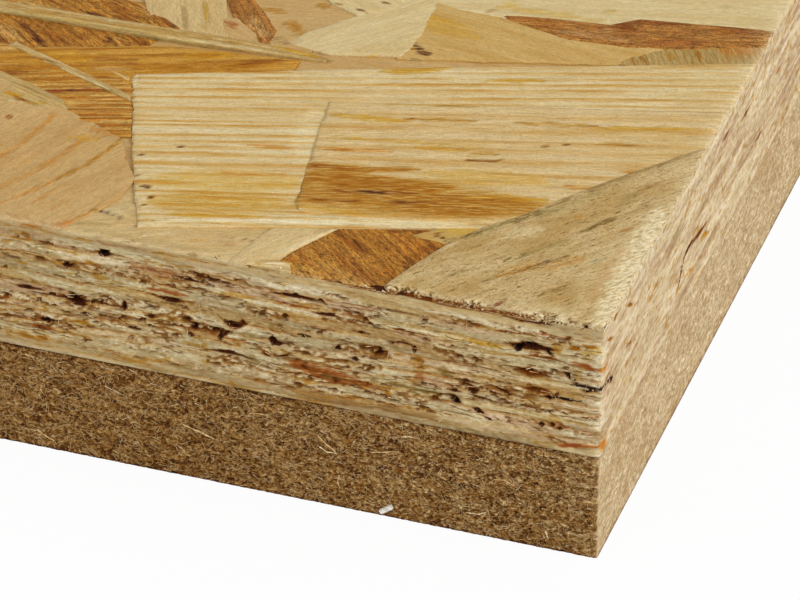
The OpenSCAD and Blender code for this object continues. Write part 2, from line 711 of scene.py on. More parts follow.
NEAR_STAINS = (
    (-22, 26, 50, 1, T, 0.75), (-28, 26.1, 20, 0.5, P, 0.5), (-10, 25.7, 20, 0.9, P, 0.45),
    (-52, 13.6, 22, 2.6, T, 0.25), (-53, 13.9, 14, 0.8, P, 0.15), (-12.5, 13.3, 10, 1.7, P, 0.6),
    (-60, 13.2, 6, 0.8, N, 0.55), (-49, 12.8, 5, 0.5, N, 0.5), (-56, 14.5, 5, 0.4, N, 0.45),
    (-47, 14.2, 3.4, 0.4, G, 0.6), (-53, 13, 4, 0.4, G, 0.5), (-3, 12.2, 7, 0.6, P, 0.7, -0.06),
    (-10, 19.4, 20, 0.7, C, 0.6, 0.03), (-9, 15.6, 12, 0.7, P, 0.6, 0.03), (-31.6, 23.6, 4, 0.4, C, 0.8),
    (-58.6, 23.9, 3.4, 0.9, L, 0.6), (-36.4, 18.4, 1.8, 1.3, G, 0.6), (-36, 15.6, 1.6, 0.9, S, 0.5),
    (-19.8, 15.9, 7, 0.7, S, 0.75, -0.06), (-43.7, 13.3, 2.8, 0.6, L, 0.6), (-16, 18.6, 2.2, 0.8, S, 0.6),
    (-27.9, 15.5, 8, 1.7, R, 0.75, -0.05), (-27.5, 15.4, 3.5, 0.6, S, 0.7), (-30, 15.9, 5.5, 0.5, U, 0.6),
    (-27, 15.7, 2.5, 0.3, U, 0.7), (-17, 17.1, 5, 0.8, K, 0.8, -0.16), (-18.6, 17.4, 1.2, 0.8, R, 0.5),
    (-18.7, 19.1, 1.2, 1, N, 0.45), (-60.3, 22, 2.2, 0.6, N, 0.4), (-52.2, 22, 1.7, 0.6, N, 0.45),
    (-37.4, 22.8, 3.6, 0.6, N, 0.4), (-35.4, 13.4, 0.9, 0.6, A, 0.6), (-22, 14.6, 1, 0.9, N, 0.6),
    (-53.1, 23.5, 2, 0.5, N, 0.7), (-54.5, 16.2, 2.8, 0.5, N, 0.7), (-59.7, 26.5, 7, 0.3, O, 0.7),
    (-31, 26.75, 8.5, 0.2, R, 0.8), (-10.8, 26.6, 1.5, 0.5, O, 0.8, 0.25), (-44.6, 21.75, 4.4, 0.5, R, 0.8),
    (-46, 24, 8, 0.9, R, 0.35, -0.03), (-14.5, 24.2, 9, 0.8, K, 0.6, -0.05), (-19, 22, 6, 0.7, K, 0.7),
    (-12, 22.7, 4, 0.6, A, 0.4), (-13.5, 21.3, 4, 1, P, 0.5), (-3.5, 25.1, 7, 0.18, R, 0.75, 0.02),
    (-1.5, 24.55, 3.2, 0.6, N, 0.85, 0.3), (-1, 23.9, 2.6, 1.2, Y, 0.5, 0.3),
    (-1.6, 22.3, 3.4, 0.7, R, 0.9, -0.15), (-4.6, 23.7, 1.6, 1.2, N, 0.45),
    (-2.2, 12.9, 4.4, 0.5, R, 0.95, 0.14), (-1.1, 13.1, 1.8, 0.3, O, 0.8, 0.14),
    (-3.2, 17.4, 5.5, 1.4, K, 0.35), (-1.7, 20, 3.6, 0.34, B, 0.95, -0.06), (-32.6, 13.4, 1.3, 0.18, R, 0.8),
    (-28.9, 13.4, 1.8, 0.18, R, 0.8), (-26.4, 13.3, 3.2, 0.18, R, 0.8), (-21.6, 13.4, 1.5, 0.18, R, 0.8),
    (-3.3, 14.8, 6.5, 0.9, R, 0.3),
)

# Hollows of the near edge; their dark tones are painted shade inside the real cut, as well as the wood's
# colour.
NEAR_HOLLOWS = (
    (-51.6, 25.1, 1.7, 0.6, B, 1.8), (-55.7, 22.8, 1.1, 0.5, D, 1.1), (-42.9, 23.8, 3.2, 0.3, D, 1, -0.1),
    (-39.3, 24.2, 2.7, 0.25, D, 0.8), (-31.6, 24.05, 4.9, 0.36, D, 1.2, 0, 0.15),
    (-31.5, 23.15, 4.2, 0.22, R, 0.7, 0, -0.2), (-28.4, 22.7, 2.3, 0.35, D, 1),
    (-20.3, 22.55, 2.6, 0.28, U, 0.9), (-44.6, 21.2, 3.9, 0.42, D, 1, 0, -0.2),
    (-60.2, 19.3, 3.1, 0.4, D, 1.1), (-54.2, 18.95, 8.6, 0.3, D, 1, 0.02),
    (-55, 18.9, 2.8, 0.9, D, 1.7, -0.2), (-49.7, 19.25, 0.5, 0.9, D, 0.9), (-53.9, 17.4, 0.9, 0.4, D, 0.8),
    (-58.1, 15.8, 1.8, 0.5, D, 1), (-58.8, 14.7, 2.1, 0.35, R, 0.7), (-37.9, 19.9, 2.6, 0.6, D, 1.3, 0, -0.5),
    (-37, 20, 0.6, 0.7, U, 1), (-40, 18.4, 1.8, 0.3, D, 1, -0.5), (-38.8, 18.2, 1.3, 0.3, D, 1, 0.7),
    (-39.5, 17.6, 0.5, 0.8, D, 1), (-42.8, 19.2, 0.9, 0.5, D, 0.9), (-42.2, 18.2, 0.9, 0.6, D, 0.9),
    (-42.6, 17.3, 0.7, 0.4, D, 0.9), (-33.9, 18.6, 0.7, 0.9, D, 1.2), (-33.4, 18.3, 1, 0.45, D, 1.2),
    (-34.5, 16.7, 1.3, 0.3, D, 0.8), (-38.6, 15.95, 4.2, 0.4, D, 1, 0, 0.2),
    (-20.2, 20.75, 2.6, 0.28, D, 1, 0, 0.4), (-19.1, 20.6, 0.4, 0.7, D, 1),
    (-7.2, 23.6, 4.6, 0.7, D, 1.6, 0.06), (-6.8, 23.9, 2.3, 0.5, B, 2.2, -0.1),
    (-8.6, 23.3, 1.2, 0.7, B, 1.9), (-5.4, 23.3, 1.2, 0.35, B, 1.6, -0.7),
    (-9.7, 24.6, 2, 0.22, U, 0.8, 0.05), (-5.7, 22.4, 3.7, 0.3, U, 0.7, 0, 0.15),
    (-7.2, 20.4, 2.7, 0.7, U, 0.8), (-3.3, 21, 1.2, 0.6, B, 1.7, -0.6),
    (-1.6, 20.05, 2.2, 0.45, B, 1.9, -0.1, -0.25), (-6.5, 18.6, 2.8, 0.6, U, 1),
    (-5.3, 18.1, 0.9, 0.5, B, 1.5), (-3.7, 18.2, 3, 0.28, B, 1.3, 0.05),
    (-14.9, 15.8, 1.2, 0.9, B, 1.6, -0.5), (-16.2, 15.9, 1.6, 0.25, D, 0.9, 0.35),
    (-12.5, 14.9, 1.2, 0.45, D, 1.1, -0.35), (-11.5, 14.2, 0.9, 0.3, D, 0.9, -0.4),
    (-6, 14.7, 0.6, 0.5, D, 0.8), (-4.9, 14.9, 0.5, 0.5, D, 0.8), (-4.2, 14.6, 0.5, 0.3, D, 0.8),
    (-1.2, 16.5, 2.6, 0.2, R, 0.6, 0.25), (-1.7, 16.3, 0.8, 0.35, U, 0.7),
    (-10.2, 17.8, 2.2, 0.3, D, 0.9, -0.35), (-14, 18, 2, 0.25, D, 0.7), (-13, 17.1, 0.9, 0.6, D, 0.9),
    (-15, 16.75, 1.2, 0.3, D, 0.8), (-27, 19.1, 0.8, 0.4, D, 0.9), (-25.2, 18.2, 0.7, 0.4, D, 0.8),
    (-22.8, 19.3, 0.9, 0.5, D, 1), (-23.6, 17.6, 0.8, 0.4, D, 0.8), (-8.4, 26.52, 4.6, 0.7, D, 0.8, -0.05),
    (-15.5, 26.62, 10, 0.5, U, 0.7, -0.01), (-23.6, 26.66, 7, 0.42, D, 0.8), (-37.1, 26.7, 1.9, 0.5, D, 1),
    (-65.5, 21, 2.6, 0.4, D, 1), (-64, 17.3, 2.2, 0.3, D, 0.9), (-48.6, 16.8, 1.6, 0.3, D, 0.8),
    (-46.8, 18.6, 1.2, 0.4, D, 0.9), (-30.6, 19.8, 1.5, 0.3, D, 0.8), (-24.6, 21.4, 1.7, 0.25, D, 0.8),
)

RUBBLE = (
    (-6.4, 20.7, 5, 1), (-10.8, 17.8, 7, 1.7), (-4.8, 14.8, 3, 1), (-4.4, 13.1, 1.6, 0.6),
    (-18.8, 19.2, 1.4, 1.4), (-19, 14.8, 3.6, 1), (-25.6, 22.9, 5, 1.6), (-28.6, 17.4, 6.5, 1.6),
    (-27.5, 15, 6, 1), (-34.6, 21.4, 4.4, 1), (-24, 19.2, 5, 1.4), (-38, 15, 3.6, 1.1), (-44.6, 18.6, 4.4, 3),
    (-48.3, 15.2, 3, 1.8), (-50.4, 17.2, 4, 1.4), (-57.8, 15.6, 5, 1.6), (-46, 16.4, 3, 1),
    (-13.8, 24.6, 4, 0.8), (-7, 22.9, 2.6, 0.7), (-14.4, 20.7, 4, 1),
)

# Stains of the right edge. The black one by the corner lies over a crack's hollow and is painted shade.
RIGHT_STAINS = (
    (1.1, 22, 2.4, 0.8, O, 0.7), (0.9, 13, 2, 1.1, O, 0.85, -0.2), (0.9, 20.1, 2.4, 0.3, B, 0.95, 0.2),
    (8.5, 12.15, 12, 0.5, K, 0.6, -0.03), (6, 16.1, 2.4, 0.4, K, 0.7), (18.4, 21, 2.4, 0.5, N, 0.6),
    (25.2, 22.8, 2.2, 0.7, L, 0.6), (32, 14.8, 2.8, 0.5, O, 0.75, -0.15), (33.8, 11.5, 1.6, 0.4, N, 0.6),
    (21, 26.1, 2.4, 0.6, G, 0.6), (31.5, 26.4, 1.6, 0.5, N, 0.5), (65.5, 20.5, 2.6, 0.6, R, 0.6),
    (46, 12, 4, 0.5, L, 0.6), (65, 12, 3, 0.5, L, 0.6),
)

# Hollows of the right edge, painted dark inside in the same way.
RIGHT_HOLLOWS = (
    (1.6, 20, 3.4, 0.22, B, 1.6, -0.2, -0.1), (3, 19.45, 1.3, 0.6, D, 1.2, -0.35),
    (2.4, 24.4, 2, 0.35, N, 0.4, -0.45), (9.2, 24.2, 1.6, 0.35, N, 0.4, -0.5),
    (9.1, 19.7, 1.8, 0.3, N, 0.4, -0.3), (4.2, 25.9, 1.2, 0.45, N, 0.35),
    (34.2, 17.9, 6.4, 0.5, U, 1.2, -0.14), (30.4, 18.4, 3.4, 0.5, D, 1.3, 0.1),
    (28.3, 17.3, 1.9, 0.6, U, 1.2, 1), (27.3, 15.9, 1.2, 0.5, U, 0.8, 0.9),
    (37, 16.2, 2.2, 0.5, A, 0.4, -0.3), (52, 22.6, 3, 0.3, U, 0.6), (58, 16.4, 2.6, 0.3, U, 0.6),
    (44, 24.2, 2.4, 0.3, U, 0.5),
)


@dataclass
class SawnBoard:
    """The strand board as a saw cuts it: smooth pale strands, crumbled ones and gaps between them."""

    low: float
    high: float
    seed: int = 44
    thinnest: float = 0.6
    thickest: float = 1.45
    rubble: tuple[tuple, ...] = RUBBLE
    stains: tuple[tuple, ...] = NEAR_STAINS + RIGHT_STAINS
    hollows: tuple[tuple, ...] = NEAR_HOLLOWS + RIGHT_HOLLOWS
    stocks: tuple[Colour, ...] = (
        shade(218, 202, 162), shade(208, 190, 148), shade(199, 178, 134), shade(211, 189, 147),
        shade(195, 176, 133), shade(202, 178, 136), shade(188, 158, 104), shade(224, 208, 170),
        shade(200, 182, 140), shade(184, 150, 96), shade(210, 193, 151), shade(199, 169, 129),
    )
    sunken: float = 0.1
    lip: float = 0.3
    pit: Colour = shade(120, 70, 22)
    crumb: Colour = shade(218, 198, 156)
    honey: Colour = shade(178, 126, 50)
    calm_stock: Colour = shade(214, 192, 154)
    calm_dark: Colour = shade(172, 138, 106)
    chalk: Colour = shade(238, 224, 192)
    heights: Grid = field(init=False, repr=False)
    noises: tuple[LatticeNoise, ...] = field(init=False, repr=False)

    def __post_init__(self) -> None:
        """Draw the layers and the noises."""
        rng = np.random.default_rng(self.seed)
        heights = [self.low - 1.0]
        while heights[-1] < self.high + 1.0:
            heights.append(heights[-1] + rng.uniform(self.thinnest, self.thickest))
        self.heights = np.array(heights)
        self.noises = tuple(LatticeNoise(self.seed + step) for step in range(8))

    def fields(self, s: Grid, z: Grid, calm: Grid) -> tuple[Grid, Grid]:
        """Depth and colour of the sawn edge.

        Args:
            s: Distance along the edge from the near right corner.
            z: Height above the underside.
            calm: 0 for a torn long edge to 1 for a smooth short one.

        Returns:
            The depth in millimetres, and rows of the linear colour and how torn the edge is.
        """
        sway, ripple, gaps, fibre, tear, random_a, random_b, soft = self.noises
        warped = z + 1.5 * (sway.rough(s / 15, z / 8, 2) - 0.5)
        warped += (0.7 - 0.4 * calm) * (ripple.rough(s / 3.0, z / 1.5, 3) - 0.5)
        layer = np.clip(np.searchsorted(self.heights, warped) - 1, 0, len(self.heights) - 2)
        above = warped - self.heights[layer]
        thick = self.heights[layer + 1] - self.heights[layer]
        seam = np.minimum(above, thick - above)
        # Painted shade: each layer darkens towards its seams as if rounded, over a small real dip there.
        seam_dip_and_shade = (2 * above / thick - 1) ** 2
        reach = 6.0 + 18.0 * random_a.pick(layer * 7, layer * 3 + 5)
        lean = np.where(random_b.pick(layer * 3, layer + 9) > 0.5, 6.0, -6.0) * (above - thick / 2)
        place = (s + lean) / reach + 31.0 * random_b.pick(layer, layer * 11)
        place += 0.9 * sway.at(s / 8 + layer * 5.3, layer * 1.7)
        strand = np.floor(place).astype(int)
        end = np.minimum(place - strand, 1 - place + strand) * reach
        tone = random_a.pick(strand * 5 + layer, layer * 13 + 2)
        kind = random_b.pick(strand * 3 + 7, layer * 5 + 1)
        stocks = np.array(self.stocks)
        streak = fibre.rough(s / 5.0 + strand * 3.1, warped / 0.3 + tone * 9, 3)
        slant = np.where(tone > 0.5, 1.2, -0.7)
        crumbs = tear.rough((s + slant * z) / 0.5, z / 0.26, 3)
        cloud = soft.rough(s / 5.0, z / 1.2, 3)
        patch = ease(gaps.rough(s / 3.4 + layer * 13.7, warped / 1.2, 2), 0.48, 0.1)
        crumbled = ease(kind, 0.66, 0.08) * (0.25 + 0.75 * patch) + 0.22 * patch
        firm = ease(z - self.high, -1.7, 0.7) + ease(z, self.low + 1.5, -0.6)
        crumbled = np.clip(crumbled, 0, 0.85) * (1 - 0.8 * calm) * (1 - 0.85 * firm)
        crumbled = np.maximum(crumbled, self.rubble_share(s, z, streak))
        light = 0.5 * (streak - 0.5) + 0.5 * (cloud - 0.5) + 0.32 * (crumbs - 0.5) - 0.14 * seam_dip_and_shade
        light += 0.26 * (random_b.pick(strand * 11 + 4, layer * 5 + 8) - 0.5)
        smooth = 1.03 + light * (1 - 0.3 * firm) - 0.16 * firm * (1 - calm) * (1 + 0.7 * (z < self.low + 2))
        colour = deep(stocks[(tone * len(stocks) * 0.999).astype(int)]) * warmed(smooth)
        share = ease(crumbs + 0.25 * (streak - 0.5), 0.34, 0.28)
        colour = blend(colour, blend(deep(self.pit), deep(self.crumb), share), 0.85 * crumbled)
        honey = hill(seam, 0.26) * ease(cloud + streak, 0.86, 0.2) * (1 - calm)
        colour = blend(colour, deep(self.honey), 0.42 * honey)
        colour = blend(colour, self.quiet(s, z, warped, crumbs, cloud), 0.85 * calm)
        thread = abs(fibre.rough(s / 7.0 + 80, warped / 0.8 + 3, 2) - 0.5)
        hairline = ease(thread, 0.035, -0.025) * smooth_step((cloud - 0.42 - 0.08 * calm) / 0.1)
        colour = blend(colour, deep(Tone.BROWN.value), 0.42 * hairline * (1 - 0.35 * calm))
        depth = 0.08 * (tone - 0.5) - 0.05 * (streak - 0.5) + 0.12 * crumbled * (1 - share)
        depth = depth + 0.1 + 0.05 * seam_dip_and_shade
        opened = ease(gaps.rough(s / 2.6 + layer * 7.7, layer * 1.3 + 0 * s, 2), 0.58, 0.08)
        groove = opened * hill(seam, 0.085) * (1 - 0.75 * calm) * (1 - 0.6 * firm)
        ajar = random_b.pick(strand * 9 + 2, layer * 7 + 3) < 0.26
        wedge = ajar * hill(end, 1.3) * hill(seam, 0.13)
        wedge = wedge * ease(streak, 0.36, 0.1)
        void = ease(gaps.rough(s / 1.2 + 17, warped / 0.36, 2), 0.69, 0.05)
        void = void * smooth_step(crumbled / 0.3)
        gap = np.maximum(wedge, void) * (1 - 0.85 * calm) * (1 - 0.8 * firm)
        depth = (depth + 0.14 * groove + 0.5 * gap) * (1 - 0.4 * calm)
        # Opened seams get a small real groove and are darkened to rust or umber along it, painted shade of
        # the seam as well as its colour. Gaps are cut half a millimetre in and painted dark umber: painted
        # shade inside the real gap, besides the wood's colour.
        reds = random_a.pick(layer * 3, strand)[:, None]
        stain = np.where(reds > 0.5, deep(Tone.UMBER.value), deep(Tone.RUST.value))
        colour = blend(colour, stain, 0.75 * groove)
        colour = blend(colour, 0.93 * deep(Tone.UMBER.value), 0.88 * gap)
        corner = hill(s, 1.1) * ease(cloud + streak, 0.7, 0.5)
        colour = blend(colour, deep(self.chalk), 0.75 * corner)
        depth = depth + 0.25 * hill(s, 0.5) * ease(cloud, 0.4, 0.3)
        depth, colour = self.add_marks(s, z, depth, colour)
        torn = 1 - 0.65 * calm - 0.7 * firm * (1 - calm)
        return depth, np.column_stack([colour**STAIN_ROOT, np.clip(torn, 0.2, 1)])

    def rubble_share(self, s: Grid, z: Grid, streak: Grid) -> Grid:
        """How crumbled the edge is in the named patches of broken chips."""
        most = np.zeros_like(s)
        for along, up, length, height in self.rubble:
            far = np.hypot((s - along) / (length / 2), (z - up) / (height / 2)) + 1.2 * (streak - 0.5)
            most = np.maximum(most, ease(far, 1.25, -0.4))
        return 0.9 * most

    def quiet(self, s: Grid, z: Grid, warped: Grid, crumbs: Grid, cloud: Grid) -> Grid:
        """Rooted colour of a smoothly cut short edge: long pale and pinkish lines, whiter at the top arris.

        Args:
            s: Distance along the edge.
            z: Height above the underside.
            warped: Height in the wavy layers.
            crumbs: Fine noise.
            cloud: Broad noise.

        Returns:
            The fourth root of the linear colour.
        """
        fibre, tear, soft, gaps = self.noises[3], self.noises[4], self.noises[7], self.noises[2]
        sway = 1.6 * (soft.rough(s / 5 + 61, z / 2.2, 2) - 0.5)
        short_line = 0.24 * tear.rough(s / 2.4 + 20, (warped - sway) / 0.4, 2)
        short_line += 0.3 * gaps.rough(s / 0.75 + 33, z / 0.42, 3)
        line = 0.46 * fibre.rough(s / 8 + 50, (warped + sway) / 0.8, 3) + short_line
        band = soft.rough(s / 12 + 9, (warped + sway) / 1.6, 2)
        quiet = blend(deep(self.calm_dark), deep(self.calm_stock), ease(line, 0.28, 0.3))
        quiet *= warmed(1 + 0.45 * (band - 0.5) + 0.5 * (crumbs - 0.5) + 0.45 * (cloud - 0.5))
        fuzzy = ease(z, 24.9, 1.6) * ease(crumbs, 0.34, 0.14)
        white = np.maximum(0.5 * ease(line, 0.56, 0.12), 0.85 * fuzzy)
        dots = ease(gaps.rough(s / 0.7 + 40, z / 0.5, 2), 0.69, 0.05)
        return blend(blend(quiet, deep(self.chalk), white), deep(Tone.BROWN.value), 0.4 * dots)

    def add_marks(self, s: Grid, z: Grid, depth: Grid, colour: Grid) -> tuple[Grid, Grid]:
        """Cut and colour the named marks into depth and rooted colour fields."""
        ragged, fray = self.noises[4], self.noises[3]
        marks = [EdgeMark(*row) for row in self.stains]
        for mark in marks + [EdgeMark(*row, hollow=True) for row in self.hollows]:
            margin = max(mark.length, mark.height) * 0.8 + 0.5
            near = (abs(s - mark.along) < margin) & (abs(z - mark.up) < margin + abs(mark.tilt) * margin)
            if not near.any():
                continue
            here, up = s[near], z[near]
            wobble = 1.2 * (ragged.rough(here / 0.8 + mark.along, up / 0.32, 2) - 0.5)
            far = mark.reach(here, up + self.sunken * mark.weight * mark.hollow, wobble)
            tone = deep(mark.tone.value)
            if mark.hollow:
                # A hollow is cut in, and its rim and inside are painted dark: painted shade over the real
                # cut, besides the wood's own colour.
                limit = max(0.5, 1.3 - self.lip / mark.height)
                inside = ease(far, 1.36, -0.2)
                rim = ease(far, 2.0, -0.7) * ease(wobble, -0.2, 0.3)
                depth[near] += mark.weight * ease(far, limit, -0.26)
                colour[near] = blend(colour[near], deep(Tone.UMBER.value), rim * 0.45)
                colour[near] = blend(colour[near], tone, 0.92 * inside)
            else:
                fuzz = 1.1 * (fray.rough(here / 1.3, up / 0.14, 2) - 0.5)
                inside = smooth_step((1.15 - far + fuzz) / 0.6) * mark.weight
                colour[near] = blend(colour[near], tone, inside)
        return depth, colour


@dataclass
class SawnFelt:
    """The wood fibre board as a saw cuts it: matted brown fibre with short gaps."""

    high: float
    seed: int = 71
    torn: Colour = shade(134, 90, 37)
    light: Colour = shade(206, 174, 118)
    # The darkest colour is painted into the gaps between fibres and along the joint and the foot, as their
    # shade.
    hollow: Colour = shade(62, 26, 4)
    dusted: Colour = shade(208, 184, 144)
    dusted_dark: Colour = shade(176, 143, 98)
    noises: tuple[LatticeNoise, ...] = field(init=False, repr=False)

    def __post_init__(self) -> None:
        """Draw the noises."""
        self.noises = tuple(LatticeNoise(self.seed + step) for step in range(6))

    def fields(self, s: Grid, z: Grid, calm: Grid) -> tuple[Grid, Grid]:
        """Depth and colour of the sawn edge, as for the strand board."""
        mat, clump, gaps, speck, broad, drift = self.noises
        bend = 1.3 * (drift.rough(s / 1.6, z / 1.2, 2) - 0.5)
        fine = 1 + 1.4 * calm
        fibre = mat.rough(s / (0.27 * fine), (z + bend) / 0.17, 2)
        tuft = clump.rough(s / 1.0, (z + bend) / 0.55, 2)
        wide = broad.rough(s / 9, z / 3.2, 2)
        # Gaps between fibres: a small real dip, painted dark as their shade.
        hole = ease(gaps.rough(s / (0.3 * fine) + 3, (z + bend) / 0.19, 3), 0.56, 0.09)
        hole *= ease(tuft, 0.26, 0.25)
        pale = ease(speck.rough(s / (0.34 * fine) + 2.0 * bend, (z - bend) / 0.17, 2), 0.56, 0.1)
        pale *= 0.8 + 0.55 * ease(s, -50, 40) * (1 - calm)
        hollow = blend(deep(self.hollow), deep(self.dusted_dark), calm)
        bulk = broad.rough(s / 3.0 + 9, (z + 0.6 * bend) / 0.55, 3)
        light = 1.1 * (fibre - 0.5) + 0.45 * (tuft - 0.5) + 0.3 * (wide - 0.5)
        light = light + 0.95 * (1 - calm) * (bulk - 0.5)
        colour = blend(deep(self.torn), deep(self.dusted), calm) * warmed(1 + light * (1.15 - 0.15 * calm))
        colour = blend(colour, deep(self.light), np.clip(0.72 * pale * (1 - 0.6 * calm), 0, 1))
        colour = blend(colour, hollow, 0.8 * hole)
        stained = ease(wide + 0.6 * tuft, 0.86, 0.2) * calm
        colour = blend(colour, deep(self.dusted_dark), 0.6 * stained)
        # Painted shade: a dark band along the joint with the strand board and along the foot, where shade
        # falls; the joint also gets a small real recess.
        joint = hill(z - self.high, 0.22) * (1 - 0.6 * calm)
        foot = 0.5 * hill(z - 0.65, 0.2) * ease(tuft, 0.4, 0.3)
        foot = (foot + hill(z, 0.2)) * (0.8 * (1 - 0.6 * calm))
        colour = blend(colour, deep(self.hollow), 0.75 * np.clip(joint + foot, 0, 1))
        corner = hill(s, 0.5) * ease(tuft, 0.35, 0.3)
        colour = blend(colour, deep(self.dusted), 0.6 * corner)
        depth = (0.14 * (0.5 - fibre) + 0.2 * (0.5 - tuft) + 0.14 * hole - 0.08 * pale) * (1 - 0.7 * calm)
        return depth + 0.14 + 0.15 * joint, np.column_stack([colour**STAIN_ROOT, 1 - 0.74 * calm])


@dataclass
class SawnEdges:
    """Skins of all four sawn edges of one board."""

    panel: PanelFrame
    board: SawnBoard | SawnFelt
    finish: bpy.types.Material
    slot: Slot
    name: str
    low: float
    high: float
    near_step: float = 0.13
    right_step: float = 0.24
    height_step: float = 0.13
    far_step: float = 2.0
    far_height_step: float = 0.85
    shown_near: float = 72.0
    shown_right: float = 84.0
    arris: float = 0.35
    backing: float = 3.0

    def path(self, side: Side, along: Grid) -> tuple[Grid, Grid]:
        """Points and outward normals along one side of the rounded outline.

        Args:
            side: Which side.
            along: Distance along that side from its first corner.

        Returns:
            Points and normals, as rows of x and y.
        """
        ahead, outward = (np.array(way) for way in side.value)
        back = outward - ahead
        start = np.array([-self.panel.length * (back[0] < 0), self.panel.width * (back[1] > 0)])
        whole = self.panel.length if ahead[0] else self.panel.width
        radius = self.arris
        quarter = radius * math.pi / 4
        first = np.clip((quarter - along) / radius, 0, None)
        last = np.clip((quarter - (whole - along)) / radius, 0, None)
        middle = radius + (along - quarter) * (whole - 2 * radius) / (whole - 2 * quarter)
        place = np.where(first > 0, radius - radius * np.sin(first), middle)
        place = np.where(last > 0, whole - radius + radius * np.sin(last), place)
        turn = first + last
        inset = radius - radius * np.cos(turn)
        lean = np.sin(last) - np.sin(first)
        points = start + place[:, None] * ahead - inset[:, None] * outward
        return points, np.cos(turn)[:, None] * outward + lean[:, None] * ahead

    def coordinate(self, side: Side, along: Grid) -> tuple[Grid, Grid]:
        """Distance round the panel from the near right corner, and the side's calm."""
        length, width = self.panel.length, self.panel.width
        s = along + {Side.NEAR: -length, Side.RIGHT: 0.0, Side.FAR: width, Side.LEFT: -length - width}[side]
        if side in (Side.NEAR, Side.RIGHT):
            return s, ease(s, -0.25, 0.5)
        return s, np.full_like(along, side is Side.LEFT)

    def strip(self, name: str, side: Side, start: float, end: float, step: float, rise: float) -> None:
        """Build one stretch of the skin as a closed slab.

        Args:
            name: Name of the piece.
            side: Side that it is on.
            start: Its start along that side.
            end: Its end along that side.
            step: Width of a mesh cell.
            rise: Height of a mesh cell.
        """
        bm = bmesh.new()
        columns = max(2, round((end - start) / step))
        rows = max(2, round((self.high - self.low) / rise))
        bmesh.ops.create_grid(bm, x_segments=columns, y_segments=rows, size=0.5)
        stock = bm.verts.layers.float_color.new("stock")
        flat = coordinates(bm.verts)
        along = start + (flat[:, 0] + 0.5) * (end - start)
        z = self.low + (flat[:, 1] + 0.5) * (self.high - self.low)
        s, calm = self.coordinate(side, along)
        depth, colour = self.board.fields(s, z, calm)
        fade = ease(z, self.high, -0.15) * ease(z, self.low, 0.15)
        depth = depth * (0.35 + 0.65 * fade)
        points, normals = self.path(side, along)
        points = points - depth[:, None] * normals
        for vert, point, height, tone in zip(bm.verts, points, z, np.clip(colour, 0.002, 1.0)):
            vert.co = (point[0], point[1], height)
            vert[stock] = tone
        outward = side.value[1]
        close_below(bm, [(0.0, self.backing)], (-outward[0], -outward[1], 0.0))
        finish_piece(bm, f"{self.name}_{name}", self.panel, self.finish)

    def build(self) -> None:
        """Build the fine corner and the plainer rest of the perimeter."""
        length, width = self.panel.length, self.panel.width
        near, right = length - self.shown_near, self.shown_right
        self.strip("near_edge_corner", Side.NEAR, near, length, self.near_step, self.height_step)
        self.strip("right_edge_corner", Side.RIGHT, 0.0, right, self.right_step, self.height_step)
        for name, side, start, end in (
            ("near_edge", Side.NEAR, 0.0, near), ("right_edge", Side.RIGHT, right, width),
            ("far_edge", Side.FAR, 0.0, length), ("left_edge", Side.LEFT, 0.0, width),
        ):
            self.strip(name, side, start, end, self.far_step, self.far_height_step)


@dataclass(frozen=True)
class Streak:
    """A line or blot of colour on a strand.

    Attributes:
        x: Place of one end along the panel, in millimetres from the corner.
        y: Place of that end across the panel.
        end_x: Place of the other end along the panel.
        end_y: Place of the other end across the panel.
        width: Half width.
        tone: Colour.
        amount: Share of the colour in its middle.
    """

    x: float
    y: float
    end_x: float
    end_y: float
    width: float
    tone: Tone
    amount: float

    def cover(self, x: Grid, y: Grid) -> Grid:
        """Share of the streak's colour at points of the face."""
        run = np.array([self.end_x - self.x, self.end_y - self.y])
        share = np.clip(((x - self.x) * run[0] + (y - self.y) * run[1]) / max(float(run @ run), 1e-6), 0, 1)
        away = np.hypot(x - self.x - share * run[0], y - self.y - share * run[1])
        narrow = 1.0 - 0.45 * abs(2 * share - 1) ** 2
        return self.amount * smooth_step(1.35 - away / (self.width * narrow))


@dataclass(frozen=True)
class Strand:
    """One named strand of the pressed face.

    Attributes:
        name: Name of the piece.
        outline: Corners of its outline, anticlockwise and convex.
        finish: Its wood.
        grain: Direction of its grain in degrees from the long edge.
        level: Height of its face over the board's top.
        fan: Change of the grain's slope for each millimetre across.
        spin: Shift of the ring pattern.
        ragged: How far its ends are torn, in millimetres.
        step: Width of a mesh cell.
        streaks: Colours painted on it.
    """

    name: str
    outline: tuple[Point, ...]
    finish: StrandFinish
    grain: float
    level: float
    fan: float = 0.0
    spin: float = 0.0
    ragged: float = 0.35
    step: float = 0.5
    streaks: tuple[tuple, ...] = ()


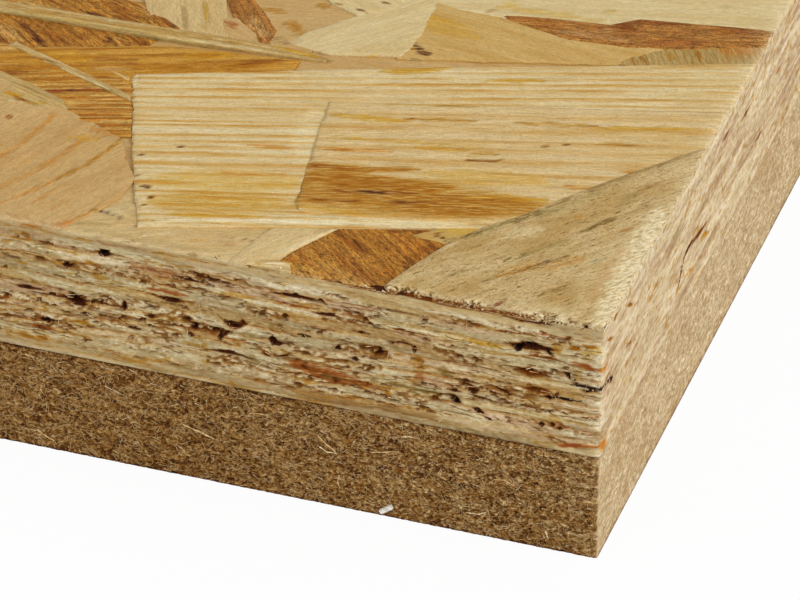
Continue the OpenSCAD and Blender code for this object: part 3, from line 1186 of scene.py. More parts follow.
@dataclass
class StrandMaker:
    """Makes the strands of the pressed face.

    Attributes:
        panel: Sizes and place of the panel.
        skirt: Height above the underside that a strand's walls go down to.
        buried: How far the walls then run down and inwards, out of sight.
        edge_fall: How far a strand's rim is pressed down.
        chipped: Reach of the crumbled rim, in millimetres.
        undercut: Stretch of the near edge where the strands' walls are painted umber as the shade of the
            groove under them.
        ends: Noise of torn ends and crumbs.
        relief: Noise of the pressed face.
    """

    panel: PanelFrame
    skirt: float = 26.62
    buried: float = 0.75
    edge_fall: float = 0.1
    chipped: float = 0.8
    undercut: tuple[float, float] = (-27.0, -6.4)
    ends: LatticeNoise = field(default_factory=lambda: LatticeNoise(5))
    relief: LatticeNoise = field(default_factory=lambda: LatticeNoise(6))

    def trimmed_sheet(self, strand: Strand) -> Mesh:
        """A fine flat sheet along the grain, cut to the strand's outline."""
        corners = np.array(strand.outline)
        turn = math.radians(strand.grain)
        ahead = np.array([math.cos(turn), math.sin(turn)])
        aside = np.array([-ahead[1], ahead[0]])
        along, across = corners @ ahead, corners @ aside
        size = np.array([np.ptp(along), np.ptp(across)])
        middle = ahead * (along.max() + along.min()) / 2 + aside * (across.max() + across.min()) / 2
        bm = bmesh.new()
        cells = np.maximum(2, np.ceil(size / np.array([strand.step * 1.3, strand.step * 0.8]))).astype(int)
        bmesh.ops.create_grid(bm, x_segments=int(cells[0]), y_segments=int(cells[1]), size=0.5)
        bmesh.ops.scale(bm, vec=(size[0], size[1], 1.0), verts=bm.verts)
        bmesh.ops.rotate(bm, cent=(0, 0, 0), matrix=Matrix.Rotation(turn, 3, "Z"), verts=bm.verts)
        bmesh.ops.translate(bm, vec=(middle[0], middle[1], 0.0), verts=bm.verts)
        for here, following in zip(strand.outline, strand.outline[1:] + strand.outline[:1]):
            outward = (following[1] - here[1], here[0] - following[0], 0.0)
            self.cut(bm, (here[0], here[1], 0.0), outward)
        return bm

    def cut(self, bm: Mesh, place: Place, outward: Place) -> None:
        """Cut away what lies beyond a plane."""
        parts = bm.verts[:] + bm.edges[:] + bm.faces[:]
        bmesh.ops.bisect_plane(bm, geom=parts, dist=1e-5, plane_co=place, plane_no=outward, clear_outer=True)

    def inset(self, strand: Strand, x: Grid, y: Grid) -> Grid:
        """Distance of points from the strand's own outline."""
        nearest = np.full(len(x), 1e6)
        for here, following in zip(strand.outline, strand.outline[1:] + strand.outline[:1]):
            run = np.array([following[0] - here[0], following[1] - here[1]])
            run = run / np.hypot(*run)
            nearest = np.minimum(nearest, (y - here[1]) * run[0] - (x - here[0]) * run[1])
        return nearest

    def painted(self, strand: Strand, x: Grid, y: Grid) -> Grid:
        """Colours that the strand's streaks leave at points of it, each with its share."""
        colour = np.zeros((len(x), 4))
        for streak in (Streak(*row) for row in strand.streaks):
            share = streak.cover(x, y)
            whole = share + colour[:, 3] * (1 - share)
            keep = (colour[:, 3] * (1 - share))[:, None]
            mixed = np.array(streak.tone.value) * share[:, None] + colour[:, :3] * keep
            colour[:, :3] = mixed / np.maximum(whole, 1e-6)[:, None]
            colour[:, 3] = whole
        return colour

    def make(self, strand: Strand) -> None:
        """Build, shape and dress one strand."""
        bm = self.trimmed_sheet(strand)
        grain = bm.verts.layers.float_vector.new("grain")
        paint = bm.verts.layers.float_color.new("paint")
        sawn = bm.verts.layers.float.new("sawn")
        places = coordinates(bm.verts)
        x, y = places[:, 0], places[:, 1]
        turn = math.radians(strand.grain)
        along = x * math.cos(turn) + y * math.sin(turn)
        across = y * math.cos(turn) - x * math.sin(turn)
        across = across / (1 + strand.fan * along)
        inner = self.inset(strand, x, y)
        fall = np.exp(-inner / 0.28) * self.edge_fall
        ripple = self.relief.rough(along / 7 + strand.spin, across / 0.9, 2) - 0.5
        swell = self.relief.rough(along / 16 + 30, across / 9 + strand.spin, 2) - 0.5
        height = self.panel.top + strand.level - fall + 0.05 * ripple + 0.14 * swell
        tear = (self.ends.rough(across / 2.6 + strand.spin, across / 7.3, 3) - 0.5) * 1.6 * strand.ragged
        nick = ease(self.ends.at(across / 0.75, strand.spin + across / 5), 0.66, 0.2)
        tear -= 0.9 * strand.ragged * nick
        tear = tear * np.exp(-np.clip(inner, 0, None) / 1.6)
        side = np.sign(along - (along.max() + along.min()) / 2)
        shift = tear * side
        x = x + shift * math.cos(turn)
        y = y + shift * math.sin(turn)
        wave = (self.ends.rough(along / 2.2, strand.spin + 0 * along, 2) - 0.5) * 0.35 * strand.ragged
        wave = wave * np.exp(-np.clip(inner, 0, None) / 1.2)
        x, y = x - wave * math.sin(turn), y + wave * math.cos(turn)
        drift = 1.6 * (self.relief.rough(along / 2.5, across / 0.45 + 9, 2) - 0.5)
        stray = 0.45 * (self.relief.rough(along / 1.4 + 70, across / 0.8, 2) - 0.5)
        spot_x = x + drift * math.cos(turn) - stray * math.sin(turn)
        spot_y = y + drift * math.sin(turn) + stray * math.cos(turn)
        colour = self.painted(strand, spot_x, spot_y)
        for vert, px, py, pz, u, v, rgba in zip(bm.verts, x, y, height, along, across, colour):
            vert.co = (px, py, pz)
            vert[grain] = (u, v + strand.spin, strand.spin)
            vert[paint] = rgba
        self.trim_to_panel(bm, 0.05 * (0.3 - strand.level))
        self.chip(bm, paint, sawn)
        drop = max(0.06, self.panel.top + strand.level - self.skirt)
        faced = set(bm.verts)
        close_below(bm, [(0.4 * drop, 0.0), (0.6 * drop, 0.0), (self.buried, self.buried)])
        first, last = self.undercut
        for vert in (part for part in bm.verts if part not in faced):
            fallen = self.panel.top + strand.level - vert.co.z
            vert[grain].z += 4.0 * fallen
            # Painted shade: in this stretch the walls under the top face are darkened in umber, most strongly
            # low down.
            if vert.co.y < 0.6 and first < vert.co.x < last:
                share = min(1.0, (vert.co.x - first) / 2, (last - vert.co.x) / 1.2)
                vert[paint] = (*Tone.UMBER.value, share * (0.55 if fallen < 0.6 * drop else 0.95))
                vert[sawn] = 0.3
        finish_piece(bm, strand.name, self.panel, strand.finish.material())

    def chip(self, bm: Mesh, paint: bmesh.types.BMLayerItem, sawn: bmesh.types.BMLayerItem) -> None:
        """Crumble a sheet where the saw left it at the near and right edges.

        Args:
            bm: The sheet.
            paint: Layer of painted colours.
            sawn: Layer of how crumbled the sheet is.
        """
        chalk = np.array(shade(230, 212, 174))
        places = coordinates(bm.verts)
        side, front = -places[:, 0], places[:, 1]
        torn = front < side
        run = np.where(torn, places[:, 0], places[:, 1] + 90)
        off = np.clip(np.minimum(side, front), 0, None)
        near = np.exp(-off / np.where(torn, 0.5, 0.8))
        bunch = ease(self.ends.rough(run / 2.6 + 11, off / 3.0, 2), 0.3, 0.2)
        grit = self.ends.rough(run / 0.9 + 40, off / 0.7, 2)
        rough_part = ease(run, -24.5, 2)
        gap = ease(grit, 0.52, 0.12) * bunch * np.where(torn, 0.2 + 0.8 * rough_part, 0.3)
        drop = near * (0.07 + 0.5 * gap)
        back = 0.7 * near * gap
        share = near * (0.3 + 0.4 * (1 - gap)) * np.where(torn, 0.6, 0.8)
        crumbled = np.clip(1.5 * np.exp(-off / 0.42), 0, 1) * (0.2 + 0.8 * bunch)
        crumbled *= np.where(torn, rough_part * (1 - 0.7 * ease(run, -5.0, 3)), 0.14)
        for index, vert in enumerate(bm.verts):
            if off[index] > 5 * self.chipped:
                continue
            vert.co.z -= drop[index]
            if torn[index]:
                vert.co.y += back[index]
            else:
                vert.co.x -= back[index]
            old = np.array(vert[paint])
            dust = share[index] * (1 - 0.75 * old[3] * (old[:3].max() < 0.4))
            mixed = old[:3] * old[3] * (1 - dust) + chalk * dust
            whole = old[3] * (1 - dust) + dust
            vert[paint] = (*(mixed / max(whole, 1e-6)), whole)
            vert[sawn] = crumbled[index]

    def trim_to_panel(self, bm: Mesh, back: float = 0.0) -> None:
        """Cut a sheet off at the panel's four edges.

        Args:
            bm: The sheet.
            back: How far inside the edges, so that lower strands stand behind upper ones.
        """
        length, width = self.panel.length, self.panel.width
        self.cut(bm, (-back, 0.0, 0.0), (1.0, 0.0, 0.0))
        self.cut(bm, (back - length, 0.0, 0.0), (-1.0, 0.0, 0.0))
        self.cut(bm, (0.0, back, 0.0), (0.0, -1.0, 0.0))
        self.cut(bm, (0.0, width - back, 0.0), (0.0, 1.0, 0.0))


RINGED = StrandFinish(
    "ringed_pine", shade(218, 200, 156), shade(189, 134, 50), shade(201, 162, 97),
    ring_gap=1.45, ring_strength=1.0, wander=0.35, washed=0.34, fibre=0.16, specks=0.3,
)
NESTED = StrandFinish(
    "nested_pine", shade(215, 191, 143), shade(186, 136, 60), shade(200, 160, 90),
    ring_gap=2.5, ring_strength=0.8, fibre=0.18, specks=0.5,
)
WEATHERED = StrandFinish(
    "weathered_strand", shade(206, 181, 131), shade(130, 90, 34), shade(176, 139, 76),
    ring_gap=2.2, ring_strength=0.3, wander=2.2, washed=0.7, fibre=0.17, specks=0.7, coarse=1.3, short=0.4,
    mottle=0.75, pores=0.95, broken=0.28,
)
BROWN_HEART = StrandFinish(
    "brown_heart", shade(190, 135, 54), shade(114, 58, 8), shade(152, 96, 24),
    ring_gap=1.1, ring_strength=0.8, wander=0.9, washed=0.5, fibre=0.58, specks=1.0, coarse=0.9, short=0.6,
)
SMOOTH_TAN = StrandFinish(
    "smooth_tan", shade(198, 164, 108), shade(178, 130, 66), shade(186, 144, 84),
    ring_gap=4.6, ring_strength=0.45, wander=1.6, fibre=0.14, specks=0.3, short=0.5,
)
TAN_SHEET = StrandFinish(
    "tan_sheet", shade(207, 180, 126), shade(186, 148, 86), shade(194, 162, 104),
    ring_gap=3.6, ring_strength=0.55, wander=1.4, washed=0.45, fibre=0.18, specks=0.3, short=0.6, broken=0.8,
)
HONEY = StrandFinish(
    "honey_strand", shade(202, 168, 104), shade(182, 136, 60), shade(186, 146, 76),
    ring_gap=2.4, ring_strength=0.55, wander=1.0, washed=0.4, fibre=0.16, specks=0.3, short=0.7,
)
AMBER_WOOD = StrandFinish(
    "amber_strand", shade(200, 152, 66), shade(150, 86, 8), shade(174, 112, 18),
    ring_strength=0.9, wander=0.8, washed=0.6, fibre=0.24, specks=0.5,
)
ORANGE_LINED = StrandFinish(
    "orange_lined", shade(207, 167, 94), shade(140, 72, 6), shade(174, 116, 30),
    ring_gap=1.0, ring_strength=1.0, wander=0.5, washed=0.45, fibre=0.32,
)
PALE_SLIVER = StrandFinish(
    "pale_sliver", shade(200, 172, 114), shade(158, 114, 46), shade(182, 146, 82),
    ring_gap=0.75, wander=0.25, washed=0.4, fibre=0.2,
)
CREAM_SHEET = StrandFinish(
    "cream_sheet", shade(214, 193, 144), shade(196, 164, 102), shade(203, 176, 118),
    ring_gap=5.2, ring_strength=0.5, wander=1.8, washed=0.45, fibre=0.15, specks=0.2, short=0.6,
)
ROSE_BROWN = StrandFinish(
    "rose_brown", shade(176, 122, 56), shade(130, 72, 18), shade(152, 94, 34),
    ring_gap=1.3, wander=0.9, washed=0.4, fibre=0.58, specks=1.0, coarse=1.0, short=0.5,
)

CORNER_STRANDS = (
    Strand("main_strand", (
        (-49.2, 2.9), (-16, 14.2), (1, 20), (1, 55.4), (-30, 43.8), (-61.3, 31.2), (-54.9, 15.5),
    ), RINGED, 14.2, -0.02, fan=0.0016, spin=3, ragged=0.22, step=0.42, streaks=(
        (-36.5, 41.2, -30.5, 43.6, 0.9, A, 0.75), (-37, 40.2, -31.5, 42.2, 0.5, A, 0.6),
        (-50, 12, -38, 15.5, 2.6, A, 0.27), (-49, 8, -36, 11.8, 2.4, N, 0.2), (-49, 8, -38, 11.4, 2, A, 0.26),
        (-47, 6, -38, 8.6, 0.5, A, 0.6), (-45, 15.2, -38.5, 17, 0.35, O, 0.5),
        (-44, 21.5, -39, 22.6, 0.4, O, 0.6), (-48, 4.4, -18, 14.6, 0.55, C, 0.85),
        (-30, 10.6, -18, 14.4, 0.8, P, 0.7), (-51.1, 19, -50.8, 18.6, 0.22, D, 0.9),
        (-50.8, 8.4, -50, 8.2, 0.3, D, 1), (-50.4, 6.8, -50, 6.4, 0.28, D, 1),
        (-51.4, 10.1, -50.9, 10.4, 0.28, D, 1), (-54.2, 15.9, -53.6, 16.2, 0.24, D, 0.9),
        (-53.2, 12.9, -52.2, 10.6, 0.12, D, 0.7), (-60.2, 28, -60.9, 31, 0.5, C, 0.7),
        (-40.5, 30, -38.2, 20, 1.6, C, 0.35), (-22, 48.2, -14, 50.6, 1.2, Y, 0.28),
        (-26, 42, -20, 44, 0.35, A, 0.6),
    )),
    Strand("nested_strand", (
        (-34.4, 10.75), (-30, 11.5), (-16, 14.8), (1, 20), (1, 43.9), (-39.8, 32.3),
        (-38.5, 25.5), (-36.3, 13.4), (-35.8, 11.9), (-35.2, 11.1),
    ), NESTED, 14.5, 0.18, fan=0.0012, spin=11, ragged=0.12, step=0.42, streaks=(
        (-37, 13.8, -14, 18.6, 3.6, N, 0.62), (-37.4, 17.2, -22, 19.8, 1.3, N, 0.5),
        (-37.4, 19.3, -31, 20.3, 0.9, N, 0.85), (-37.2, 19.4, -34, 20, 0.3, U, 0.6),
        (-32, 20.3, -26.5, 22, 0.45, N, 0.8), (-37.2, 17.8, -29, 19.4, 0.6, N, 0.7),
        (-36.8, 16.4, -24, 19, 1.2, N, 0.6), (-33, 15.4, -25.5, 17.5, 0.5, U, 0.55),
        (-30.6, 16.1, -27.8, 16.7, 0.3, D, 0.95), (-35, 13, -29.5, 14.4, 0.18, U, 0.9),
        (-27, 15.2, -22.6, 16.5, 0.3, U, 0.95), (-26, 15.4, -25, 15.8, 0.22, D, 0.8),
        (-26, 16.8, -15, 19.6, 0.9, N, 0.55), (-20, 18.6, -12.5, 20.6, 0.6, A, 0.7),
        (-18, 18.9, -15.8, 19.5, 0.35, U, 0.6), (-26, 14.6, -17, 16.6, 1.4, N, 0.45),
        (-25, 21.6, -14, 24, 1.6, A, 0.3), (-37.5, 23, -30, 24.6, 0.5, O, 0.5),
        (-36.5, 22.9, -34, 23.5, 0.25, N, 0.6), (-38, 29.8, -31, 30.9, 0.6, A, 0.6),
        (-31.5, 31.2, -24, 33.4, 0.35, N, 0.55), (-31.2, 31.4, -30.2, 31.6, 0.3, U, 0.6),
        (-39, 33, -27, 35.6, 0.35, A, 0.7), (-29, 35.2, -24, 36.6, 0.3, N, 0.45),
        (-20, 34.2, -12.5, 36.4, 0.35, N, 0.5), (-12, 36, -1.5, 39.4, 0.4, A, 0.6),
        (-11, 33, -7.2, 34, 0.3, N, 0.6), (-22.4, 25.6, -19.4, 26.3, 0.25, U, 0.75),
        (-22.2, 26.3, -22, 27.2, 0.2, N, 0.7), (-21.6, 27.3, -19.6, 27.6, 0.16, N, 0.5),
        (-19.2, 26.4, -18.8, 27, 0.2, N, 0.6), (-13.6, 31.9, -13.4, 32.2, 0.22, U, 0.8),
        (-15.8, 30.6, -15.6, 30.9, 0.18, U, 0.7), (-7, 28.7, -5.5, 29, 0.3, O, 0.8),
        (-11.5, 23.8, -9, 24.2, 0.25, O, 0.6), (-28, 26.4, -23, 27.3, 0.3, A, 0.6),
        (-36.5, 25.5, -22, 28.4, 0.25, A, 0.5), (-35.5, 11.5, -28, 12.2, 0.5, A, 0.45),
    )),
    # The umber dash at its near edge, about 10 mm from the corner, is the painted shade of a crack.
    Strand("corner_strand", (
        (-22.9, -1), (1, -1), (1, 37.6), (0, 36.5), (-10.5, 22.2), (-16.2, 14.4), (-18.6, 10.6), (-20.6, 5.6),
    ), WEATHERED, 50, 0.22, spin=21, ragged=0.3, step=0.36, streaks=(
        (-17.5, 11.6, -10, 21.6, 0.3, S, 0.5), (-17.6, 11.4, -14.5, 15.4, 0.54, L, 0.55),
        (-18.4, 11.2, -16.6, 12.6, 0.36, S, 0.75), (-14.6, 15.2, -11.5, 18.6, 0.48, S, 0.5),
        (-11.8, 17.4, -7.5, 24.5, 0.48, L, 0.45), (-9, 23.5, -3, 32, 0.54, G, 0.6),
        (-3.5, 31, -0.5, 36, 0.72, G, 0.55), (-12.2, 8.8, -8, 14, 0.36, L, 0.5),
        (-12.4, 8.6, -11, 10.4, 0.21, S, 0.6), (-16.4, 6.6, -13.5, 10.6, 0.7, T, 0.5),
        (-13.9, 3.6, -9.6, 8.6, 0.21, S, 0.6), (-11.2, 6.4, -6.8, 11.2, 0.27, S, 0.6),
        (-11.2, -0.2, -10, 2, 0.3, U, 0.9), (-9.4, 8.6, -8.2, 9.8, 0.3, B, 0.5),
        (-5, 10.6, -3.2, 12, 0.25, B, 0.5), (-7.2, 16, -4.6, 19.6, 0.3, S, 0.8),
        (-4, 25.6, -2.2, 28, 0.25, N, 0.6), (-3.8, 20.6, -2.4, 24.2, 0.3, G, 0.55),
        (-5, 22, -3.2, 27, 0.48, G, 0.35), (-3.4, 17.2, -2.6, 18.4, 0.35, N, 0.45),
        (-19.6, 2.2, -17, 6.4, 0.3, T, 0.6), (-17.3, 3.2, -15.4, 6, 0.3, S, 0.45),
        (-7.8, 3, -5.4, 6, 0.3, S, 0.5), (-4.6, 2.6, -2.6, 5.2, 0.25, L, 0.5),
        (-8.6, 18.2, -7.6, 19, 0.35, O, 0.35), (-0.6, 1, -1, 22, 1.7, C, 0.75),
        (-3.2, 3, -3.4, 14, 1.6, P, 0.3), (-2.6, 4, -2.8, 14, 0.8, O, 0.2), (-9, 1, -3, 1, 1.2, P, 0.5),
        (-8.5, 8, -5.5, 11.5, 0.8, O, 0.22), (-12.5, 5.5, -9.5, 9, 0.9, O, 0.2),
        (-1.4, 13, -1.6, 14.2, 0.3, O, 0.4), (-3.4, 7, -3.8, 7.4, 0.35, O, 0.35),
        (-14.2, 12.4, -11, 15.4, 1.2, P, 0.45), (-20, 7.6, -18.4, 9.8, 0.5, P, 0.5),
    )),
    Strand("brown_strand", ((-34.8, -1), (-17, -1), (-16.5, 12.6), (-20.6, 12.6), (-30.5, 9.6), (-32.8, 5)),
           BROWN_HEART, -42, -0.22, spin=2, ragged=0.25, step=0.42, streaks=(
        (-30, 8.2, -26, 6, 0.9, U, 0.5), (-28.5, 8, -26.5, 6.6, 0.25, D, 0.5),
        (-27.4, 6.6, -25.7, 5.4, 0.2, D, 0.6), (-29, 5, -22, -0.6, 1, U, 0.3),
        (-27, 3.2, -25.4, 1.2, 0.2, D, 0.5), (-25.4, 10.4, -20.6, 11.8, 0.5, U, 0.55),
        (-23.6, 9.6, -20.4, 6.6, 1.2, O, 0.4), (-22, 5.6, -20.6, 9.4, 0.7, U, 0.45),
        (-34, 2.4, -31, 2.2, 0.5, O, 0.7), (-33, 1.6, -30.6, 1.3, 0.7, Y, 0.5),
        (-23.2, 4, -22.4, 2.6, 0.7, O, 0.5), (-22, 2.4, -21.4, 1.2, 0.3, U, 0.7),
        (-29.5, 2.5, -24, -0.4, 0.8, T, 0.25),
    )),
    Strand("tan_sliver", ((-38.8, -1), (-35.6, -1), (-30.3, 9.4), (-36.6, 7.4)),
           TAN_SHEET, 62, -0.12, spin=9, ragged=0.15, streaks=(
        (-34.9, 2, -30.7, 8.9, 0.28, C, 0.8), (-36.3, 5.4, -37.2, 6.6, 0.3, R, 0.5),
        (-37, 1.5, -33, 7.6, 2.4, P, 0.45),
    )),
    Strand("yellow_patch", ((-23, 10.4), (-17.4, 9.6), (-16.4, 14.4), (-20, 13.8)),
           HONEY, 20, -0.12, spin=4, ragged=0.3, step=0.4, streaks=(
        (-21, 12.6, -17.5, 13.2, 1, Y, 0.8), (-20.4, 11.3, -18.7, 10.3, 0.22, D, 0.95),
        (-21.6, 11.7, -20.2, 11.4, 0.16, U, 0.7), (-19.4, 10.6, -18.8, 11.4, 0.35, L, 0.6),
    )),
    # The orange and brown dashes along its right end, near the near edge, are a painted edge shadow.
    Strand("left_strand", (
        (-92, -1), (-57, -1), (-54.2, 4.2), (-53, 7.6), (-53, 11.2), (-57.4, 18.3), (-66, 22.8), (-92, 33),
    ), SMOOTH_TAN, 68, -0.02, spin=1.6, step=0.42, streaks=(
        (-65.6, 21, -65.9, 18, 0.36, O, 0.5), (-65.9, 18, -66.5, 14, 0.4, O, 0.46),
        (-66.5, 14, -67.9, 9.4, 0.36, O, 0.4), (-61, 17.5, -61.5, 14, 0.3, O, 0.44),
        (-61.5, 14, -62.7, 10, 0.32, O, 0.46), (-62.7, 10, -66.4, 2.6, 0.3, O, 0.4),
        (-57.2, 18.4, -57.5, 15.6, 0.3, N, 0.6), (-57.5, 15.6, -58.4, 12.6, 0.32, N, 0.52),
        (-58.4, 12.6, -60.2, 8.8, 0.34, N, 0.48), (-60.2, 8.8, -62.2, 5, 0.32, O, 0.5),
        (-62.2, 5, -65.2, 0.2, 0.3, O, 0.44), (-58.6, 9, -61.4, 2, 0.24, O, 0.28),
        (-63.4, 16, -65.2, 9, 0.24, O, 0.22), (-57.4, 4.8, -59.4, 1.5, 0.3, O, 0.3),
        (-62, 16.8, -59.5, 17.2, 0.8, A, 0.4), (-69.8, 19.2, -69.5, 18.8, 0.3, R, 0.8),
        (-56.6, 0.4, -55.4, 2.4, 0.34, O, 0.85), (-55.4, 2.4, -54.4, 4.4, 0.26, N, 0.7),
        (-68.6, 13.5, -68.2, 11.4, 0.5, A, 0.45), (-62.6, 0.6, -55.8, 0.4, 0.4, N, 0.45),
        (-61, 19.6, -58.4, 18.6, 0.4, O, 0.5),
    )),
    Strand("orange_strand", ((-92, 15), (-58.6, 18.6), (-56.4, 19.4), (-57.4, 22.5), (-61, 30.5), (-92, 36)),
           ORANGE_LINED, 21, -0.16, spin=8, ragged=0.3, step=0.42, streaks=(
        (-69.2, 24.8, -66, 26.1, 0.34, R, 0.95), (-66, 26.1, -62.6, 27.4, 0.24, R, 0.95),
        (-68.6, 25, -64.5, 26.7, 0.14, D, 0.7), (-75.5, 27.6, -70, 29.5, 0.6, N, 0.7),
        (-76, 29.5, -71, 31.3, 0.6, A, 0.7), (-74.2, 27.2, -72.2, 27.7, 0.45, U, 0.6),
        (-72, 26.2, -66, 28.4, 0.36, N, 0.6), (-70, 23.4, -64, 25.6, 0.3, N, 0.55),
        (-66.5, 24, -60, 26.6, 0.28, O, 0.7), (-65, 23, -59, 25.2, 0.25, N, 0.75),
        (-64.5, 21.6, -58.4, 23.8, 0.25, O, 0.75), (-63.6, 20.6, -58, 22.6, 0.24, N, 0.75),
        (-62, 19.8, -57.4, 21.6, 0.26, O, 0.8), (-61, 18.6, -57, 20.2, 0.25, N, 0.65),
        (-62.4, 20.4, -60.6, 21.6, 0.45, O, 0.6), (-62.2, 20.1, -61, 19.9, 0.3, U, 0.6),
        (-69, 23.4, -66, 23, 0.6, A, 0.6), (-75, 31.4, -71, 32, 0.7, A, 0.5),
    )),
    Strand("thin_pale_strand", ((-76.4, 32.8), (-59.3, 25.9), (-59.8, 27.1), (-75.8, 33.7)),
           PALE_SLIVER, -21, 0.02, spin=3, ragged=0.3, step=0.4, streaks=(
        (-76, 32.8, -66, 28.9, 0.14, U, 0.5), (-66, 28.7, -60.4, 26.4, 0.14, L, 0.7),
        (-72.6, 32.2, -66, 29.7, 0.2, C, 0.6), (-68.5, 29.8, -62, 27.3, 0.14, P, 0.8),
    )),
    Strand("small_pale_sliver", ((-65.2, 31.6), (-61.2, 29.8), (-60.9, 30.4), (-64.6, 31.9)),
           PALE_SLIVER, -22, -0.04, spin=5, ragged=0.15, step=0.4),
    Strand("pale_triangle", (
        (-92, 27), (-71.2, 20.6), (-66.8, 21.3), (-64.9, 22.2), (-65.9, 23.7), (-70, 25.7), (-92, 34),
    ), PALE_SLIVER, -20, -0.04, spin=7, ragged=0.25, step=0.45, streaks=(
        (-71.4, 22.2, -70.5, 20.9, 0.35, C, 0.9), (-71, 22.5, -69.4, 21.8, 0.25, U, 0.9),
        (-72.5, 23.4, -70.6, 22.8, 0.45, A, 0.8), (-69.2, 21.6, -68, 22.6, 0.4, A, 0.6),
        (-72, 25.4, -66, 23.6, 0.6, G, 0.35),
    )),
    # The two dark dashes near its left end are the painted shade of a small notch.
    Strand("near_cream_piece", ((-57, -1), (-36.6, -1), (-37, 5.4), (-44, 7), (-52, 7.2), (-55, 3.8)),
           TAN_SHEET, 24, -0.24, spin=6, ragged=0.25, step=0.45, streaks=(
        (-53.7, 4.8, -52.4, 4.2, 0.36, D, 1), (-52.8, 4.35, -51.3, 3.8, 0.22, D, 1),
        (-49.6, 3.9, -48.9, 2.9, 0.15, U, 0.8), (-53.4, 5.6, -51.6, 4.8, 0.5, C, 0.4),
        (-48, 1.6, -45.2, 3.3, 0.22, C, 0.95), (-46.5, 1.2, -43, 2.6, 0.6, T, 0.6),
        (-43.2, 2.4, -41.8, 3, 0.5, A, 0.6), (-41, 4.4, -40.8, 3, 0.45, K, 0.8),
        (-40.6, 3.2, -39.2, 3, 0.5, R, 0.5), (-40.2, 4.4, -38, 4.2, 0.14, U, 0.9),
        (-55.8, 1.6, -52, 2.4, 0.5, G, 0.45), (-51.5, 5.8, -50.2, 4.6, 0.6, G, 0.4),
        (-54, 0.8, -42, 1, 0.6, G, 0.45), (-52, 3.2, -40, 3.4, 3.2, T, 0.4),
    )),
    Strand("near_pale_chip", ((-37.6, -1), (-31.4, -1), (-32.6, 1.6), (-36.8, 1.9)),
           PALE_SLIVER, 10, -0.1, spin=2.5, ragged=0.3, step=0.4, streaks=(
        (-34.8, 0.6, -32.4, 1.2, 0.5, C, 0.7),
    )),
    # The olive line along its lower edge is a painted shadow line.
    Strand("long_sliver_low", ((-92, 39.2), (-58, 39.5), (-43, 40.6), (-50, 40.9), (-92, 40.5)),
           PALE_SLIVER, 1, 0.08, spin=1, ragged=0.15, step=0.36, streaks=(
        (-80, 40.4, -50, 40.8, 0.16, N, 0.45), (-78, 39.9, -54, 40.1, 0.12, A, 0.4),
        (-80, 39.4, -56, 39.6, 0.16, L, 0.5), (-62, 39.7, -48, 40.4, 0.2, P, 0.6),
    )),
    Strand("long_sliver_high", ((-92, 40.3), (-50, 40.8), (-42.6, 41), (-46, 41.9), (-52, 42), (-92, 41.4)),
           PALE_SLIVER, 0.5, 0.04, spin=14, ragged=0.15, step=0.42, streaks=(
        (-80, 40.9, -52, 41.3, 0.14, N, 0.4), (-80, 41.2, -60, 41.3, 0.14, P, 0.6),
        (-49.5, 41.6, -44, 41.2, 0.35, A, 0.9),
    )),
    Strand("dark_fibre_patch", ((-92, 32.5), (-76, 32), (-63, 35.6), (-61.6, 39.4), (-92, 39.6)),
           BROWN_HEART, -38, -0.26, spin=12, ragged=0.4, streaks=(
        (-77, 38.2, -72.6, 34.2, 0.3, D, 0.6), (-74.4, 35.2, -72.8, 34, 0.22, D, 0.8),
        (-73.6, 37, -70.8, 35.4, 0.7, U, 0.5), (-70, 38.2, -69.4, 36.6, 0.6, U, 0.5),
        (-67.6, 38.6, -66, 36.6, 0.14, D, 0.7), (-66, 38.6, -64.8, 36.8, 0.14, C, 0.5),
        (-63.4, 38.5, -62.5, 37.8, 0.3, U, 0.8), (-79, 36.6, -76, 34.6, 1.2, T, 0.5),
    )),
    Strand("amber_strand", ((-80, 29), (-60, 29), (-45.5, 37), (-45.8, 39.9), (-60, 38.4), (-73, 33.6)),
           AMBER_WOOD, 21, -0.08, spin=18, step=0.45, streaks=(
        (-57.5, 36.6, -52.6, 38.8, 0.7, A, 0.8), (-57, 36.8, -54.6, 37.8, 0.6, N, 0.6),
        (-53, 35.6, -48, 38.4, 0.7, N, 0.65), (-51.5, 36.8, -48.2, 38.9, 0.4, U, 0.7),
        (-62, 32.4, -52, 35.4, 0.7, N, 0.4), (-60, 33.6, -56, 34.6, 0.5, N, 0.5),
        (-66, 33, -62, 34.4, 0.3, U, 0.6), (-71, 32.2, -67, 32.6, 0.9, A, 0.5),
        (-65.6, 31, -62.4, 32, 0.7, K, 0.5), (-58, 31.6, -57, 31.6, 0.4, A, 0.8),
    )),
    Strand("upper_dark_patch", ((-92, 41), (-62, 41.2), (-62.6, 46.5), (-92, 47)),
           BROWN_HEART, -24, -0.22, spin=31, ragged=0.4, step=0.55, streaks=(
        (-71.2, 42.8, -70.2, 42.2, 0.35, D, 0.8), (-70, 45, -66, 43.4, 0.8, U, 0.5),
        (-68, 43, -66, 42.2, 0.5, U, 0.5), (-80, 42.4, -74, 41.8, 0.8, T, 0.5),
        (-66.5, 46, -65, 44.5, 0.5, K, 0.5),
    )),
    Strand("upright_pale_strand", ((-62.8, 41.2), (-54.4, 41.3), (-58.2, 50.5), (-68.5, 50.5)),
           TAN_SHEET, -66, -0.1, spin=13, ragged=0.3, streaks=(
        (-61.6, 47, -59.6, 42, 0.25, G, 0.6), (-60, 48.5, -57.6, 43, 0.2, A, 0.6),
    )),
    Strand("dark_chip", (
        (-63.2, 41.3), (-59.8, 41.4), (-60.4, 42.4), (-62.4, 43.8), (-64.4, 44.3), (-64.3, 42.9),
    ), BROWN_HEART, -34, -0.02, spin=16, ragged=0.25, step=0.35, streaks=(
        (-63, 43.2, -61, 42.2, 0.4, U, 0.5),
    )),
